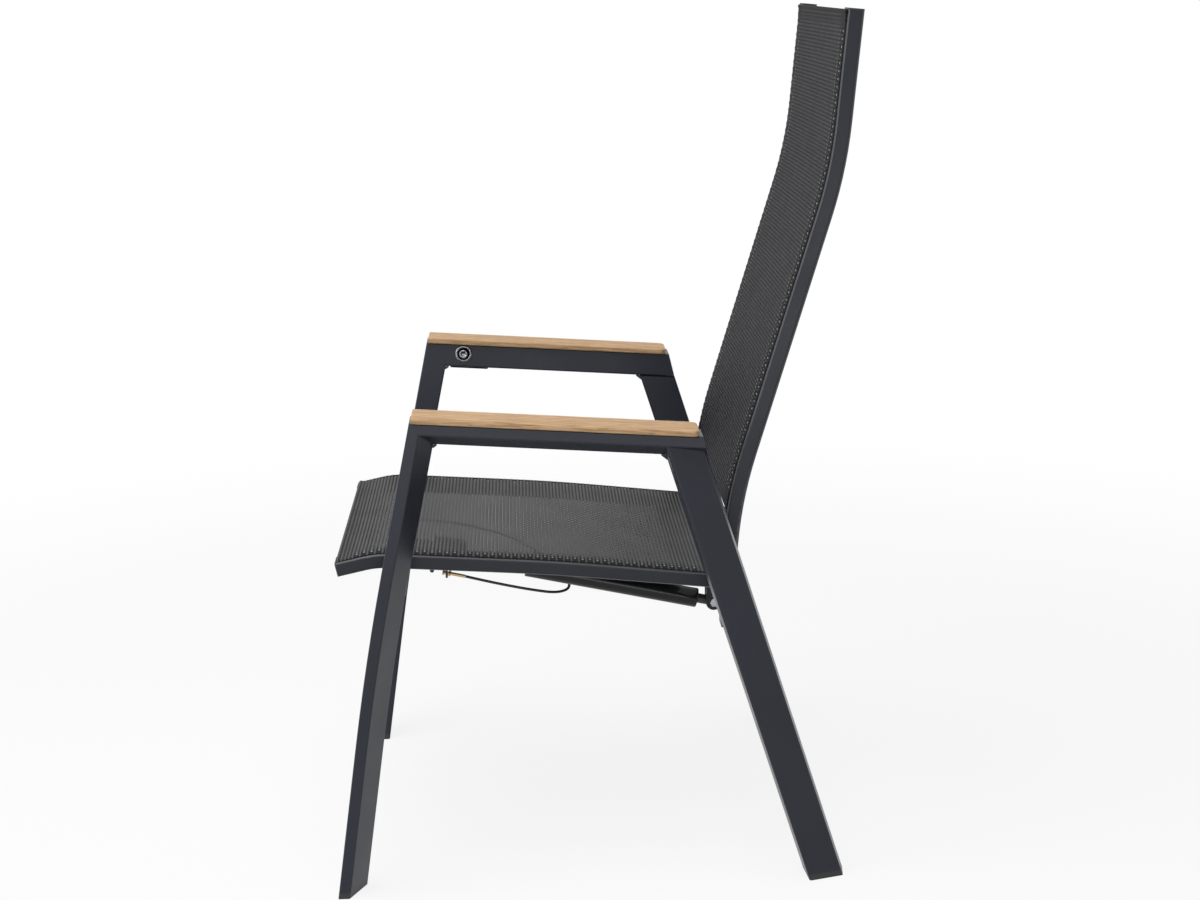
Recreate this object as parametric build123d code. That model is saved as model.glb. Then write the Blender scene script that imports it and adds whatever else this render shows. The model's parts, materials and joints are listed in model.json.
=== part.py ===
from build123d import *
import math
import os

# Reclining garden armchair with a gas spring, in millimetres.
# The chair faces -Y, +X is the sitter's left, +Z is up, and the floor is z = 0.

# Clearances and cuts
overrun = 60.0
running_gap = 0.05
seat_gap = 0.3
plug_gap = 0.1
tube_wall = 2.0

# Side frames: leg and arm rail profile
leg_inner_x = 270.0
leg_width = 47.0
leg_outer_face = 15.0
leg_inner_face = 36.5
leg_edge_radius = 2.5

# Front legs
front_toe_y = -354.5
lower_leg_rake = 8.8
upper_leg_rake = 12.4
leg_bend_z = 328.0
leg_bend_radius = 3800.0

# Arm rails and armrests
arm_corner_z = 642.0
arm_slope = 4.4
arm_length = 372.0
front_gusset = 3.5
rear_gusset = 6.0
armrest_width = 58.0
armrest_inner_x = 264.0
armrest_thickness = 8.0
armrest_set_back = 2.0
armrest_rear_step = 6.0
armrest_edge_radius = 2.0
armrest_corner_radius = 9.0

# Rear legs
rear_leg_lead = 54.34
rear_leg_rake = 17.1
rear_leg_depth = 51.0
rear_leg_width = 45.0
rear_leg_front_step = 3.3
rear_leg_back_width = 31.0
rear_leg_back_step = 3.2

# Feet
foot_height = 8.0
foot_plug_depth = 14.0

# Cross tubes between the side frames
cross_width = 30.0
cross_height = 25.0
cross_edge_radius = 9.0
front_cross_y = -266.0
rear_cross_z = 205.0

# Inner rails that hold the fabric
rail_outer_x = 226.0
rail_width = 36.0
rail_depth = 21.0
seat_rail_depth = 19.0
rail_edge_radius = 3.0
back_rear_radius = 5.0
rail_wall = 1.8
groove_inset = 7.4
groove_width = 5.6
groove_depth = 4.4
keder_radius = 2.5
keder_sink = 1.6
sling_thickness = 2.0
bar_height = 12.0
bar_edge_radius = 3.0
cap_plate = 2.0
cap_plug_depth = 10.0

# Back frame
pivot_z = 430.0
pivot_set_in = 39.18
back_foot_z = 332.0
back_bend_z = 483.0
overall_height = 1140.0
head_rise = 199.0
back_rake = 17.7
head_rake = 6.1
back_bend_radius = 600.0
head_bend_radius = 590.0
back_sling_foot_z = 492.0
top_bar_width = 12.0
lower_bar_z = 345.0
lower_bar_height = 25.0
lower_bar_depth = 18.0

# Seat frame
seat_front_y = -343.7
nose_length = 54.0
nose_drop = 11.8
seat_peak_z = 447.2
front_seat_slope = 4.36
rear_seat_slope = 6.7
seat_mid_y = -51.7
nose_radius = 130.0
seat_bend_radius = 3000.0
seat_rear_lead = 17.5
seat_pivot_lag = 2.5
seat_pivot_drop = 13.9
front_bar_width = 16.0
front_bar_place = 12.0
rear_bar_width = 50.0
rear_bar_place = 28.0
hinge_plate = 4.0
hinge_plate_height = 15.0
hinge_plate_length = 62.0

# Glides under the seat rails
glide_length = 40.0
glide_height = 7.0
glide_width = 26.0
glide_edge_radius = 2.333
glide_gap = 0.5

# Main pivots
stud_radius = 5.0
spacer_radius = 11.0
nut_radius = 9.0
nut_length = 6.0
seat_pin_radius = 4.0
seat_pin_head_radius = 7.0
seat_pin_head_length = 4.0

# Gas spring
spring_front_y = -213.5
spring_front_z = 385.5
spring_eye_z = 299.5
eye_drop = 2.0
cylinder_radius = 14.0
cylinder_wall = 1.5
cylinder_start = 124.0
gland_length = 9.0
end_wall = 4.0
rod_radius = 4.0
rod_seat = 16.0
piston_gap = 0.1
piston_length = 12.0
piston_place = 142.0
neck_radius = 7.0
neck_reach = 24.8
eye_radius = 11.5
eye_bore_radius = 6.4
eye_width = 16.0
spring_bolt_radius = 4.0
bolt_head_radius = 6.5
bolt_head_length = 5.0
ear_thickness = 4.0
ear_radius = 11.5
front_ear_radius = 9.5
front_ear_root = 7.0

# Release head, lever and cable adjuster
head_width = 20.0
head_front = 15.0
head_rear = 34.0
head_above = 19.0
head_below = 13.0
head_edge_radius = 3.0
front_pin_radius = 5.0
lever_slot = 4.0
lever_thickness = 3.0
lever_slot_half = 7.0
lever_pivot_y = -222.0
lever_pivot_z = 379.0
lever_pin_radius = 1.5
lever_radius = 4.5
lever_tip_y = -228.0
lever_tip_z = 357.0
lever_tip_radius = 3.0
lug_y = -207.0
lug_thickness = 3.0
lug_radius = 6.0
adjuster_front_y = -213.0
adjuster_front_z = 354.2
adjuster_length = 33.4
adjuster_drop = 13.3
adjuster_radius = 2.4
adjuster_nut_radius = 4.2
adjuster_nut_length = 3.0

# Push button in the right arm rail
button_lead = 55.72
button_drop = 14.5
ring_radius = 13.0
ring_thickness = 2.5
barrel_radius = 9.0
barrel_length = 19.0
button_radius = 6.8
button_length = 9.0
button_proud = 4.4
ring_edge_radius = 1.0
button_edge_radius = 1.5
plate_lead = 8.6
plate_length = 58.0
plate_width = 16.0
plate_thickness = 2.0

# Control cable
cable_radius = 2.0
outlet_radius = 5.0
outlet_edge_radius = 1.667
outlet_length = 9.0
outlet_y = -272.0
outlet_z = 371.0
cable_arc_share = 0.45


def to_rad(angle):
    return math.radians(angle)


def turned(y, z, angle, along, across=0.0):
    """Point reached from (y, z) by going along and across a direction at angle above +Y."""
    c = math.cos(to_rad(angle))
    s = math.sin(to_rad(angle))
    return y + along * c - across * s, z + along * s + across * c


def meet(p, p_angle, q, q_angle):
    """Crossing of two lines in the side view, each given by a point and its angle above +Y."""
    pc, ps = math.cos(to_rad(p_angle)), math.sin(to_rad(p_angle))
    qc, qs = math.cos(to_rad(q_angle)), math.sin(to_rad(q_angle))
    along = ((q[0] - p[0]) * qs - (q[1] - p[1]) * qc) / (pc * qs - ps * qc)
    return p[0] + along * pc, p[1] + along * ps


def at(point, x=0.0):
    return Vector(x, point[0], point[1])


def side_path(points, radii):
    """Path in the side view through points, with one radius for each corner."""
    if len(points) == 2:
        return Line(at(points[0]), at(points[1]))
    return FilletPolyline(*[at(p) for p in points], radius=radii)


def cross_plane(point, angle):
    """Plane square to a side-view direction: local x is X, local y is below or behind it."""
    direction = (0, math.cos(to_rad(angle)), math.sin(to_rad(angle)))
    return Plane(origin=at(point), x_dir=(1, 0, 0), z_dir=direction)


def path_angle(points):
    return math.degrees(math.atan2(points[1][1] - points[0][1], points[1][0] - points[0][0]))


def run_section(section, points, radii=()):
    """Sweep a section along a side-view path."""
    plane = cross_plane(points[0], path_angle(points))
    path = side_path(points, list(radii))
    return sweep(plane * section, path=path)


def keep_below(part, point, angle):
    """Keep what lies below a plane that holds X and a side-view direction."""
    normal = (0, -math.sin(to_rad(angle)), math.cos(to_rad(angle)))
    return split(part, bisect_by=Plane(origin=at(point), x_dir=(1, 0, 0), z_dir=normal), keep=Keep.BOTTOM)


def keep_above(part, point, angle):
    normal = (0, -math.sin(to_rad(angle)), math.cos(to_rad(angle)))
    return split(part, bisect_by=Plane(origin=at(point), x_dir=(1, 0, 0), z_dir=normal), keep=Keep.TOP)


def rod_x(x0, x1, y, z, radius):
    """Round bar along X."""
    plane = Plane(origin=(min(x0, x1), y, z), x_dir=(0, 1, 0), z_dir=(1, 0, 0))
    return extrude(plane * Circle(radius), amount=abs(x1 - x0))


def plate_x(x0, x1, outline):
    """Flat plate square to X, from a side-view sketch in (y, z)."""
    plane = Plane(origin=(min(x0, x1), 0, 0), x_dir=(0, 1, 0), z_dir=(1, 0, 0))
    return extrude(plane * outline, amount=abs(x1 - x0))


def strap(a, b, radius_a, radius_b):
    """Side-view outline of a strap with round ends about the points a and b."""
    rounds = Pos(*a) * Circle(radius_a) + Pos(*b) * Circle(radius_b)
    return make_hull(rounds.edges())


def other_side(part):
    return mirror(part, about=Plane.YZ)


def hexagon_x(x0, x1, y, z, radius):
    plane = Plane(origin=(min(x0, x1), y, z), x_dir=(0, 1, 0), z_dir=(1, 0, 0))
    return extrude(plane * RegularPolygon(radius, 6), amount=abs(x1 - x0))


# Side frame outlines

def frame_outline(inset=0.0):
    """Leg profile: full width in front, a narrow outer face and a bevel to the inner face."""
    x0 = leg_inner_x
    x1 = leg_inner_x + leg_width
    outline = Polygon((x0, 0), (x1, 0), (x1, leg_outer_face), (x0, leg_inner_face), align=None)
    outline = fillet(outline.vertices(), leg_edge_radius)
    if inset:
        outline = offset(outline, -inset)
    return outline


def rear_leg_outline(inset=0.0):
    x0 = leg_inner_x
    outline = Polygon((x0, 0), (x0 + rear_leg_width, rear_leg_front_step),
                      (x0 + rear_leg_back_width, rear_leg_depth - rear_leg_back_step),
                      (x0, rear_leg_depth), align=None)
    outline = fillet(outline.vertices(), leg_edge_radius)
    if inset:
        outline = offset(outline, -inset)
    return outline


front_bend = (front_toe_y + leg_bend_z * math.tan(to_rad(lower_leg_rake)), leg_bend_z)
arm_corner = (front_bend[0] + (arm_corner_z - leg_bend_z) * math.tan(to_rad(upper_leg_rake)), arm_corner_z)
upper_leg_angle = 90 - upper_leg_rake
leg_back_line = turned(*arm_corner, upper_leg_angle, 0, -leg_inner_face)
rail_low_line = turned(*arm_corner, -arm_slope, 0, -leg_inner_face)
inner_corner = meet(leg_back_line, upper_leg_angle, rail_low_line, -arm_slope)
mitre_angle = math.degrees(math.atan2(inner_corner[1] - arm_corner[1], inner_corner[0] - arm_corner[0]))
arm_end = turned(*arm_corner, -arm_slope, arm_length)
rear_leg_angle = 90 + rear_leg_rake
rear_heel_y = arm_end[0] - rear_leg_lead + arm_end[1] * math.tan(to_rad(rear_leg_rake))
rear_corner = meet(rail_low_line, -arm_slope, (rear_heel_y, 0), rear_leg_angle)
pivot_y = rear_heel_y - pivot_z * math.tan(to_rad(rear_leg_rake)) + pivot_set_in


def front_leg_bar(inset=0.0):
    foot = turned(front_toe_y, 0, 90 - lower_leg_rake, -overrun)
    top = turned(*arm_corner, upper_leg_angle, overrun)
    return run_section(frame_outline(inset), [foot, front_bend, top], [leg_bend_radius])


def front_leg():
    leg = front_leg_bar() - front_leg_bar(tube_wall)
    leg = keep_below(leg, arm_corner, mitre_angle)
    leg = keep_above(leg, (0, foot_height), 0)
    return leg


def arm_rail():
    start = turned(*arm_corner, -arm_slope, -overrun)
    rail = run_section(frame_outline(), [start, arm_end])
    hollow = run_section(frame_outline(tube_wall), [start, turned(*arm_end, -arm_slope, overrun)])
    front = gusset(inner_corner, upper_leg_angle, front_gusset, 1) - front_leg_bar()
    rear = gusset(rear_corner, rear_leg_angle, rear_gusset, -1) - rear_leg_bar()
    return keep_above(rail - hollow, arm_corner, mitre_angle) + ((front + rear) - hollow)


def gusset(corner, leg_angle, size, side):
    """Small weld fillet between the arm rail and a leg: side is 1 behind the front leg, -1 before the rear leg."""
    sunk = leg_edge_radius + tube_wall
    down = turned(*corner, leg_angle, -size)
    along = turned(*corner, -arm_slope, side * size)
    into_rail = turned(*corner, -arm_slope, side * size, sunk)
    into_leg = turned(*corner, leg_angle, -size, side * sunk)
    web = make_hull(Polygon(down, along, into_rail, into_leg, align=None).edges())
    return plate_x(leg_inner_x + running_gap, leg_inner_x + sunk, web)


def rear_leg_bar(inset=0.0):
    foot = turned(rear_heel_y, 0, rear_leg_angle, -overrun)
    top = turned(rear_heel_y, 0, rear_leg_angle, arm_corner_z)
    return run_section(rear_leg_outline(inset), [foot, top])


def under_rail_plane():
    """Plane of the arm rail's sloping lower face."""
    inner = turned(*arm_corner, -arm_slope, 0, -leg_inner_face)
    outer = turned(*arm_corner, -arm_slope, 0, -leg_outer_face)
    low = at(inner, leg_inner_x)
    high = at(outer, leg_inner_x + leg_width)
    along = Vector(0, math.cos(to_rad(arm_slope)), -math.sin(to_rad(arm_slope)))
    return Plane(origin=low, x_dir=along, z_dir=(high - low).cross(along) * -1)


def rear_leg():
    leg = rear_leg_bar() - rear_leg_bar(tube_wall)
    plane = under_rail_plane()
    side = Keep.BOTTOM if plane.z_dir.Z > 0 else Keep.TOP
    leg = split(leg, bisect_by=plane, keep=side)
    return keep_above(leg, (0, foot_height), 0)


def foot(bar, plug_bar):
    """Plastic foot: a sole of the leg's outline and a plug that goes up inside the leg."""
    sole = keep_above(keep_below(bar, (0, foot_height), 0), (0, 0), 0)
    plug = keep_above(keep_below(plug_bar, (0, foot_height + foot_plug_depth), 0), (0, foot_height), 0)
    return sole + plug


def rail_end_cap():
    """Plastic cap in the rear end of the arm rail."""
    end = turned(*arm_end, -arm_slope, cap_plate)
    cap = run_section(frame_outline(), [arm_end, end])
    start = turned(*arm_end, -arm_slope, -cap_plug_depth)
    return cap + run_section(frame_outline(tube_wall + plug_gap), [start, arm_end])


def armrest():
    """Teak board on the arm rail, with rounded edges and rear corners."""
    length = arm_length + cap_plate - armrest_set_back - armrest_rear_step
    start = turned(*arm_corner, -arm_slope, armrest_set_back)
    direction = Vector(0, math.cos(to_rad(arm_slope)), -math.sin(to_rad(arm_slope)))
    up = (0, math.sin(to_rad(arm_slope)), math.cos(to_rad(arm_slope)))
    plane = Plane(origin=at(start, armrest_inner_x), x_dir=direction, z_dir=up)
    outline = Pos(length / 2, -armrest_width / 2) * Rectangle(length, armrest_width)
    rear = outline.vertices().sort_by(Axis.X)[-2:]
    outline = fillet(rear, armrest_corner_radius)
    board = extrude(plane * outline, amount=armrest_thickness)
    top = board.faces().sort_by(Axis(board.center(), up))[-1]
    bottom = board.faces().sort_by(Axis(board.center(), up))[0]
    return fillet(list(top.edges()) + list(bottom.edges()), armrest_edge_radius)


def cross_tube(y, z, half_length, width=cross_width, height=cross_height, radius=cross_edge_radius):
    """Tube along X with a rounded rectangular section."""
    outer = RectangleRounded(width, height, radius)
    section = outer - offset(outer, -tube_wall)
    plane = Plane(origin=(-half_length, y, z), x_dir=(0, 1, 0), z_dir=(1, 0, 0))
    return extrude(plane * section, amount=2 * half_length)


# Inner rails

groove_centre_x = rail_outer_x - groove_inset


def rail_block(depth, inner_extra, rear_radius):
    """Full outline of a fabric rail, with its sling face at y = 0 and its rear edges rounder if asked."""
    width = rail_width + inner_extra
    block = Pos(rail_outer_x - width / 2, depth / 2) * Rectangle(width, depth)
    edges = block.vertices().group_by(Axis.Y)
    block = fillet(edges[-1], rear_radius)
    return fillet(block.vertices().group_by(Axis.Y)[0], rail_edge_radius)


def rail_outline(depth, inner_extra, rear_radius):
    """Fabric rail: a hollow box with a groove for the keder rod in its sling face."""
    body = rail_block(depth, inner_extra, rear_radius)
    body -= Pos(groove_centre_x, 0) * Rectangle(groove_width, 2 * groove_depth)
    return body - rail_hollow(depth, inner_extra, rear_radius)


def rail_hollow(depth, inner_extra, rear_radius, inset=0.0):
    width = rail_width + inner_extra
    hole_depth = depth - groove_depth - 2 * rail_wall
    middle = rail_outer_x - width / 2
    place = Pos(middle, depth - rail_wall - hole_depth / 2)
    radius = rear_radius - rail_wall
    return place * RectangleRounded(width - 2 * (rail_wall + inset), hole_depth - 2 * inset, radius)


back_front_y = pivot_y - rail_depth / 2
back_low = (back_front_y, back_foot_z)
back_bend = (back_front_y, back_bend_z)
head_bend_z = overall_height - cap_plate - head_rise
head_bend = (back_front_y + (head_bend_z - back_bend_z) * math.tan(to_rad(back_rake)), head_bend_z)
head_top_z = overall_height - cap_plate
head_top = (head_bend[0] + (head_top_z - head_bend_z) * math.tan(to_rad(head_rake)), head_top_z)
back_points = [back_low, back_bend, head_bend, head_top]
back_radii = [back_bend_radius, head_bend_radius]
head_angle = 90 - head_rake

seat_rear_y = pivot_y - seat_rear_lead
seat_pivot_y = pivot_y + seat_pivot_lag
seat_peak_y = seat_front_y + nose_length * math.cos(to_rad(nose_drop))
seat_front = (seat_front_y, seat_peak_z - nose_length * math.sin(to_rad(nose_drop)))
seat_peak = (seat_peak_y, seat_peak_z)
seat_mid = (seat_mid_y, seat_peak_z - (seat_mid_y - seat_peak_y) * math.tan(to_rad(front_seat_slope)))
seat_rear = (seat_rear_y, seat_mid[1] - (seat_rear_y - seat_mid_y) * math.tan(to_rad(rear_seat_slope)))
seat_pivot_z = seat_rear[1] - seat_pivot_drop
seat_points = [seat_front, seat_peak, seat_mid, seat_rear]
seat_radii = [nose_radius, seat_bend_radius]
seat_extra = seat_gap + running_gap
seat_inner_x = rail_outer_x - rail_width - seat_extra


def rail(points, radii, depth, inner_extra=0.0, rear_radius=rail_edge_radius):
    return run_section(rail_outline(depth, inner_extra, rear_radius), points, radii)


def keder(points, radii):
    """Rod in the rail's groove that holds the edge of the fabric."""
    return run_section(Pos(groove_centre_x, keder_sink) * Circle(keder_radius), points, radii)


def sling(points, radii):
    """Fabric stretched between the keder rods, lying on the rails."""
    half = groove_centre_x - keder_radius - plug_gap
    section = Pos(0, -sling_thickness / 2) * Rectangle(2 * half, sling_thickness)
    return run_section(section, points, radii)


def rail_cap(end, angle, depth, inner_extra=0.0, rear_radius=rail_edge_radius):
    """Plastic cap: a plate over a rail's end and a plug inside it. The angle points out of the rail."""
    body = rail_block(depth, inner_extra, rear_radius)
    hole = rail_hollow(depth, inner_extra, rear_radius, plug_gap)
    if math.cos(to_rad(angle)) + math.sin(to_rad(angle)) < 0:
        body = mirror(body, about=Plane.XZ)
        hole = mirror(hole, about=Plane.XZ)
    plate = run_section(body, [end, turned(*end, angle, cap_plate)])
    plug = run_section(hole, [turned(*end, angle, -cap_plug_depth), end])
    return plate + plug


def both(part):
    """The part and its mirror image, as separate solids of one node."""
    return Compound(children=[part.solid(), other_side(part).solid()])


def back_rail():
    """Curved side rail of the back, with bores for the main pivot and for the seat's pin."""
    body = rail(back_points, back_radii, rail_depth, rear_radius=back_rear_radius)
    body -= rod_x(0, rail_outer_x + overrun, pivot_y, pivot_z, stud_radius + running_gap)
    return body - rod_x(0, rail_outer_x + overrun, seat_pivot_y, seat_pivot_z, seat_pin_radius)


def above_foot(part):
    """What the back's fabric and keder rods keep of a sweep along the whole rail."""
    return keep_above(part, (0, back_sling_foot_z), 0)


def seat_rail():
    return rail(seat_points, seat_radii, seat_rail_depth, seat_extra)


def end_bar(end, angle, along, half_length, depth, width):
    """Bar that joins the two rails of a frame near one end, in the middle of their depth."""
    y, z = turned(*end, angle, along, -depth / 2)
    section = RectangleRounded(width, bar_height, bar_edge_radius)
    section -= offset(section, -rail_wall)
    plane = Plane(origin=(-half_length, y, z), x_dir=(0, math.cos(to_rad(angle)), math.sin(to_rad(angle))),
                  z_dir=(1, 0, 0))
    return extrude(plane * section, amount=2 * half_length)


def hinge_strap():
    """Plate on the inner side of a seat rail that reaches back to the seat's pivot."""
    inner = seat_inner_x - hinge_plate
    low = hinge_plate_height / 2 + rail_wall - seat_rail_depth
    fore = turned(*seat_rear, -rear_seat_slope, seat_pivot_y - seat_rear_y - hinge_plate_length, low)
    outline = strap((seat_pivot_y, seat_pivot_z), fore, hinge_plate_height / 2, hinge_plate_height / 2)
    plate = plate_x(inner, seat_inner_x, outline)
    bore = rod_x(inner - overrun, seat_inner_x + overrun, seat_pivot_y, seat_pivot_z,
                 seat_pin_radius + running_gap)
    return plate - bore


def seat_pin():
    """Shoulder pin through the back rail and the seat's hinge plate, with its head inboard."""
    head_x = seat_inner_x - hinge_plate - seat_gap
    place = (seat_pivot_y, seat_pivot_z)
    pin = rod_x(head_x, rail_outer_x - rail_wall, *place, seat_pin_radius)
    return pin + rod_x(head_x - seat_pin_head_length, head_x, *place, seat_pin_head_radius)


def pivot_stud():
    """Stud from the rear leg through the spacer and the back rail, with its lock nut."""
    nut_x = rail_outer_x - rail_width - seat_gap
    stud = rod_x(nut_x - nut_length, leg_inner_x, pivot_y, pivot_z, stud_radius)
    nut = hexagon_x(nut_x - nut_length, nut_x, pivot_y, pivot_z, nut_radius)
    return stud + nut


def pivot_spacer():
    tube = rod_x(rail_outer_x + seat_gap, leg_inner_x, pivot_y, pivot_z, spacer_radius)
    return tube - rod_x(0, leg_inner_x + overrun, pivot_y, pivot_z, stud_radius)


# Glides and front cross tube

glide_place = turned(seat_peak_y, seat_peak_z, -front_seat_slope, front_cross_y - seat_peak_y,
                     -seat_rail_depth - glide_gap)
front_cross_z = glide_place[1] - glide_height - cross_height / 2


def glide():
    """Plastic shoe on the front cross tube that the seat rail slides over."""
    half = glide_length / 2
    foot_half = half - glide_height
    corners = [(-half, glide_height), (half, glide_height), (foot_half, 0), (-foot_half, 0)]
    outline = Polygon(*corners, align=None)
    outline = fillet(outline.vertices().group_by(Axis.Y)[-1], glide_edge_radius)
    outline = Pos(front_cross_y, front_cross_z + cross_height / 2) * outline
    shoe = plate_x(rail_outer_x - rail_width / 2 - glide_width / 2,
                   rail_outer_x - rail_width / 2 + glide_width / 2, outline)
    return keep_below(shoe, glide_place, -front_seat_slope)


# Gas spring

spring_eye_y = pivot_y
spring_dy = spring_eye_y - spring_front_y
spring_dz = spring_eye_z - eye_drop - spring_front_z
spring_length = math.hypot(spring_dy, spring_dz)
spring_angle = math.degrees(math.atan2(spring_dz, spring_dy))
cylinder_length = spring_length - cylinder_start - neck_reach


def on_spring(distance, across=0.0):
    return turned(spring_front_y, spring_front_z, spring_angle, distance, across)


def spring_bar(start, end, radius):
    """Round bar on the spring's axis between two distances from the front pin."""
    plane = cross_plane(on_spring(start), spring_angle)
    return extrude(plane * Circle(radius), amount=end - start)


def spring_cylinder():
    end = cylinder_start + cylinder_length
    body = spring_bar(cylinder_start, end, cylinder_radius)
    body = fillet(body.edges().filter_by(GeomType.CIRCLE), cylinder_wall)
    body -= spring_bar(cylinder_start + gland_length, end - end_wall, cylinder_radius - cylinder_wall)
    return body - spring_bar(cylinder_start - overrun, cylinder_start + gland_length + overrun,
                             rod_radius + running_gap)


def spring_rod():
    """Rod with its piston, which stands at the gland end while the back is upright."""
    rod = spring_bar(rod_seat, piston_place + piston_length, rod_radius)
    piston_radius = cylinder_radius - cylinder_wall - piston_gap
    return rod + spring_bar(piston_place, piston_place + piston_length, piston_radius)


def rear_eye():
    """Fitting screwed to the cylinder: a neck and an eye round the rear bolt."""
    eye_y, eye_z = on_spring(spring_length)
    ring = rod_x(-eye_width / 2, eye_width / 2, eye_y, eye_z, eye_radius)
    neck = spring_bar(cylinder_start + cylinder_length, spring_length, neck_radius)
    return ring + neck - rod_x(-eye_width, eye_width, eye_y, eye_z, eye_bore_radius)


def rear_bracket():
    """Two ears below the lower bar of the back that hold the spring's rear bolt."""
    low = lower_bar_z - lower_bar_height / 2
    eye = (spring_eye_y, spring_eye_z)
    outline = make_hull((Pos(*eye) * Circle(ear_radius)
                         + Pos(pivot_y, low) * Rectangle(2 * ear_radius, 2 * rail_wall)).edges())
    near = plate_x(eye_width / 2 + seat_gap, eye_width / 2 + seat_gap + ear_thickness, outline)
    near -= rod_x(0, overrun, *eye, spring_bolt_radius)
    ears = near + other_side(near)
    return keep_below(ears, (0, low), 0)


def rear_bolt():
    half = eye_width / 2 + seat_gap + ear_thickness
    shank = rod_x(-half - bolt_head_length, half, spring_eye_y, spring_eye_z, spring_bolt_radius)
    head = hexagon_x(half, half + bolt_head_length, spring_eye_y, spring_eye_z, bolt_head_radius)
    nut = hexagon_x(-half - bolt_head_length, -half, spring_eye_y, spring_eye_z, bolt_head_radius)
    return shank + head + nut


def front_bracket():
    """Two ears from the lower side of the front cross tube to the pin of the release head."""
    root = (front_cross_y, front_cross_z - cross_height / 2 + ear_thickness)
    outline = strap(root, (spring_front_y, spring_front_z), front_ear_root, front_ear_radius)
    inner = head_width / 2 + seat_gap
    near = plate_x(inner, inner + ear_thickness, outline)
    near -= rod_x(0, overrun, spring_front_y, spring_front_z, front_pin_radius)
    tube = RectangleRounded(cross_width, cross_height, cross_edge_radius)
    near -= plate_x(0, overrun, Pos(front_cross_y, front_cross_z) * tube)
    return near + other_side(near)


def front_pin():
    half = head_width / 2 + seat_gap + ear_thickness
    pin = rod_x(-half, half, spring_front_y, spring_front_z, front_pin_radius)
    heads = rod_x(half, half + cap_plate, spring_front_y, spring_front_z, front_pin_radius + cap_plate)
    return pin + heads + other_side(heads)


def release_head():
    """Casting at the rod's end: pin bore, slot for the lever and a lug for the cable adjuster."""
    middle = on_spring((head_rear - head_front) / 2, (head_above - head_below) / 2)
    outline = Rectangle(head_front + head_rear, head_above + head_below)
    block = plate_x(-head_width / 2, head_width / 2, Pos(*middle) * Rot(0, 0, spring_angle) * outline)
    block = fillet(block.edges().filter_by(Axis.X), head_edge_radius)
    lug_top = spring_front_z
    lug = make_hull((Pos(lug_y, adjuster_z(lug_y)) * Rectangle(lug_thickness, 2 * lug_radius)
                     + Pos(lug_y, lug_top) * Rectangle(lug_thickness, lug_radius)).edges())
    block += plate_x(-lug_radius, lug_radius, lug)
    block -= adjuster_bar(0, adjuster_length, adjuster_radius)
    block -= rod_x(-head_width, head_width, spring_front_y, spring_front_z, front_pin_radius + running_gap)
    block -= spring_bar(rod_seat, head_rear + overrun, rod_radius)
    slot_height = lever_pivot_z - lever_tip_z
    slot = Pos(lever_pivot_y, lever_tip_z + slot_height / 2) * Rectangle(2 * lever_slot_half, slot_height)
    slot += Pos(lever_pivot_y, lever_pivot_z) * Circle(lever_radius + seat_gap)
    block -= plate_x(-lever_slot / 2, lever_slot / 2, slot)
    return block - rod_x(-head_width, head_width, lever_pivot_y, lever_pivot_z, lever_pin_radius)


def lever_pin():
    return rod_x(-head_width / 2, head_width / 2, lever_pivot_y, lever_pivot_z, lever_pin_radius)


def release_lever():
    """Lever in the head's slot: the cable pulls its tip and its heel works the valve."""
    pivot = (lever_pivot_y, lever_pivot_z)
    outline = strap(pivot, (lever_tip_y, lever_tip_z), lever_radius, lever_tip_radius)
    blade = plate_x(-lever_thickness / 2, lever_thickness / 2, outline)
    return blade - rod_x(-overrun, overrun, *pivot, lever_pin_radius + running_gap)


def adjuster_z(y):
    return adjuster_front_z - (y - adjuster_front_y) * math.tan(to_rad(adjuster_drop))


def adjuster_bar(start, end, radius):
    plane = cross_plane(turned(adjuster_front_y, adjuster_front_z, -adjuster_drop, start), -adjuster_drop)
    return extrude(plane * Circle(radius), amount=end - start)


def cable_adjuster():
    """Brass adjusting screw of the cable, with a nut before and a nut behind the lug."""
    lug_place = (lug_y - adjuster_front_y) / math.cos(to_rad(adjuster_drop))
    screw = adjuster_bar(0, adjuster_length, adjuster_radius)
    front = (adjuster_front_y, adjuster_front_z)
    for place in (lug_place - lug_thickness - adjuster_nut_length, lug_place + lug_thickness):
        plane = cross_plane(turned(*front, -adjuster_drop, place), -adjuster_drop)
        screw += extrude(plane * RegularPolygon(adjuster_nut_radius, 6), amount=adjuster_nut_length)
    return screw


# Push button

button_y = arm_corner[0] + button_lead
plate_start_y = inner_corner[0] + plate_lead
rail_button_z = arm_corner[1] - (button_y - arm_corner[0]) * math.tan(to_rad(arm_slope)) - button_drop


def button_housing():
    """Ring and barrel set into the inner face of the right arm rail."""
    face = -leg_inner_x
    ring = rod_x(face, face + ring_thickness, button_y, rail_button_z, ring_radius)
    ring = fillet(ring.edges().filter_by(GeomType.CIRCLE).sort_by(Axis.X)[-1], ring_edge_radius)
    barrel = rod_x(face - barrel_length, face, button_y, rail_button_z, barrel_radius)
    bore = rod_x(face - barrel_length + tube_wall, face + overrun, button_y, rail_button_z,
                 button_radius + running_gap)
    return ring + barrel - bore


def push_button():
    front = -leg_inner_x + ring_thickness + button_proud
    knob = rod_x(front - button_length - button_proud, front, button_y, rail_button_z, button_radius)
    return fillet(knob.edges().filter_by(GeomType.CIRCLE).sort_by(Axis.X)[-1], button_edge_radius)


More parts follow.
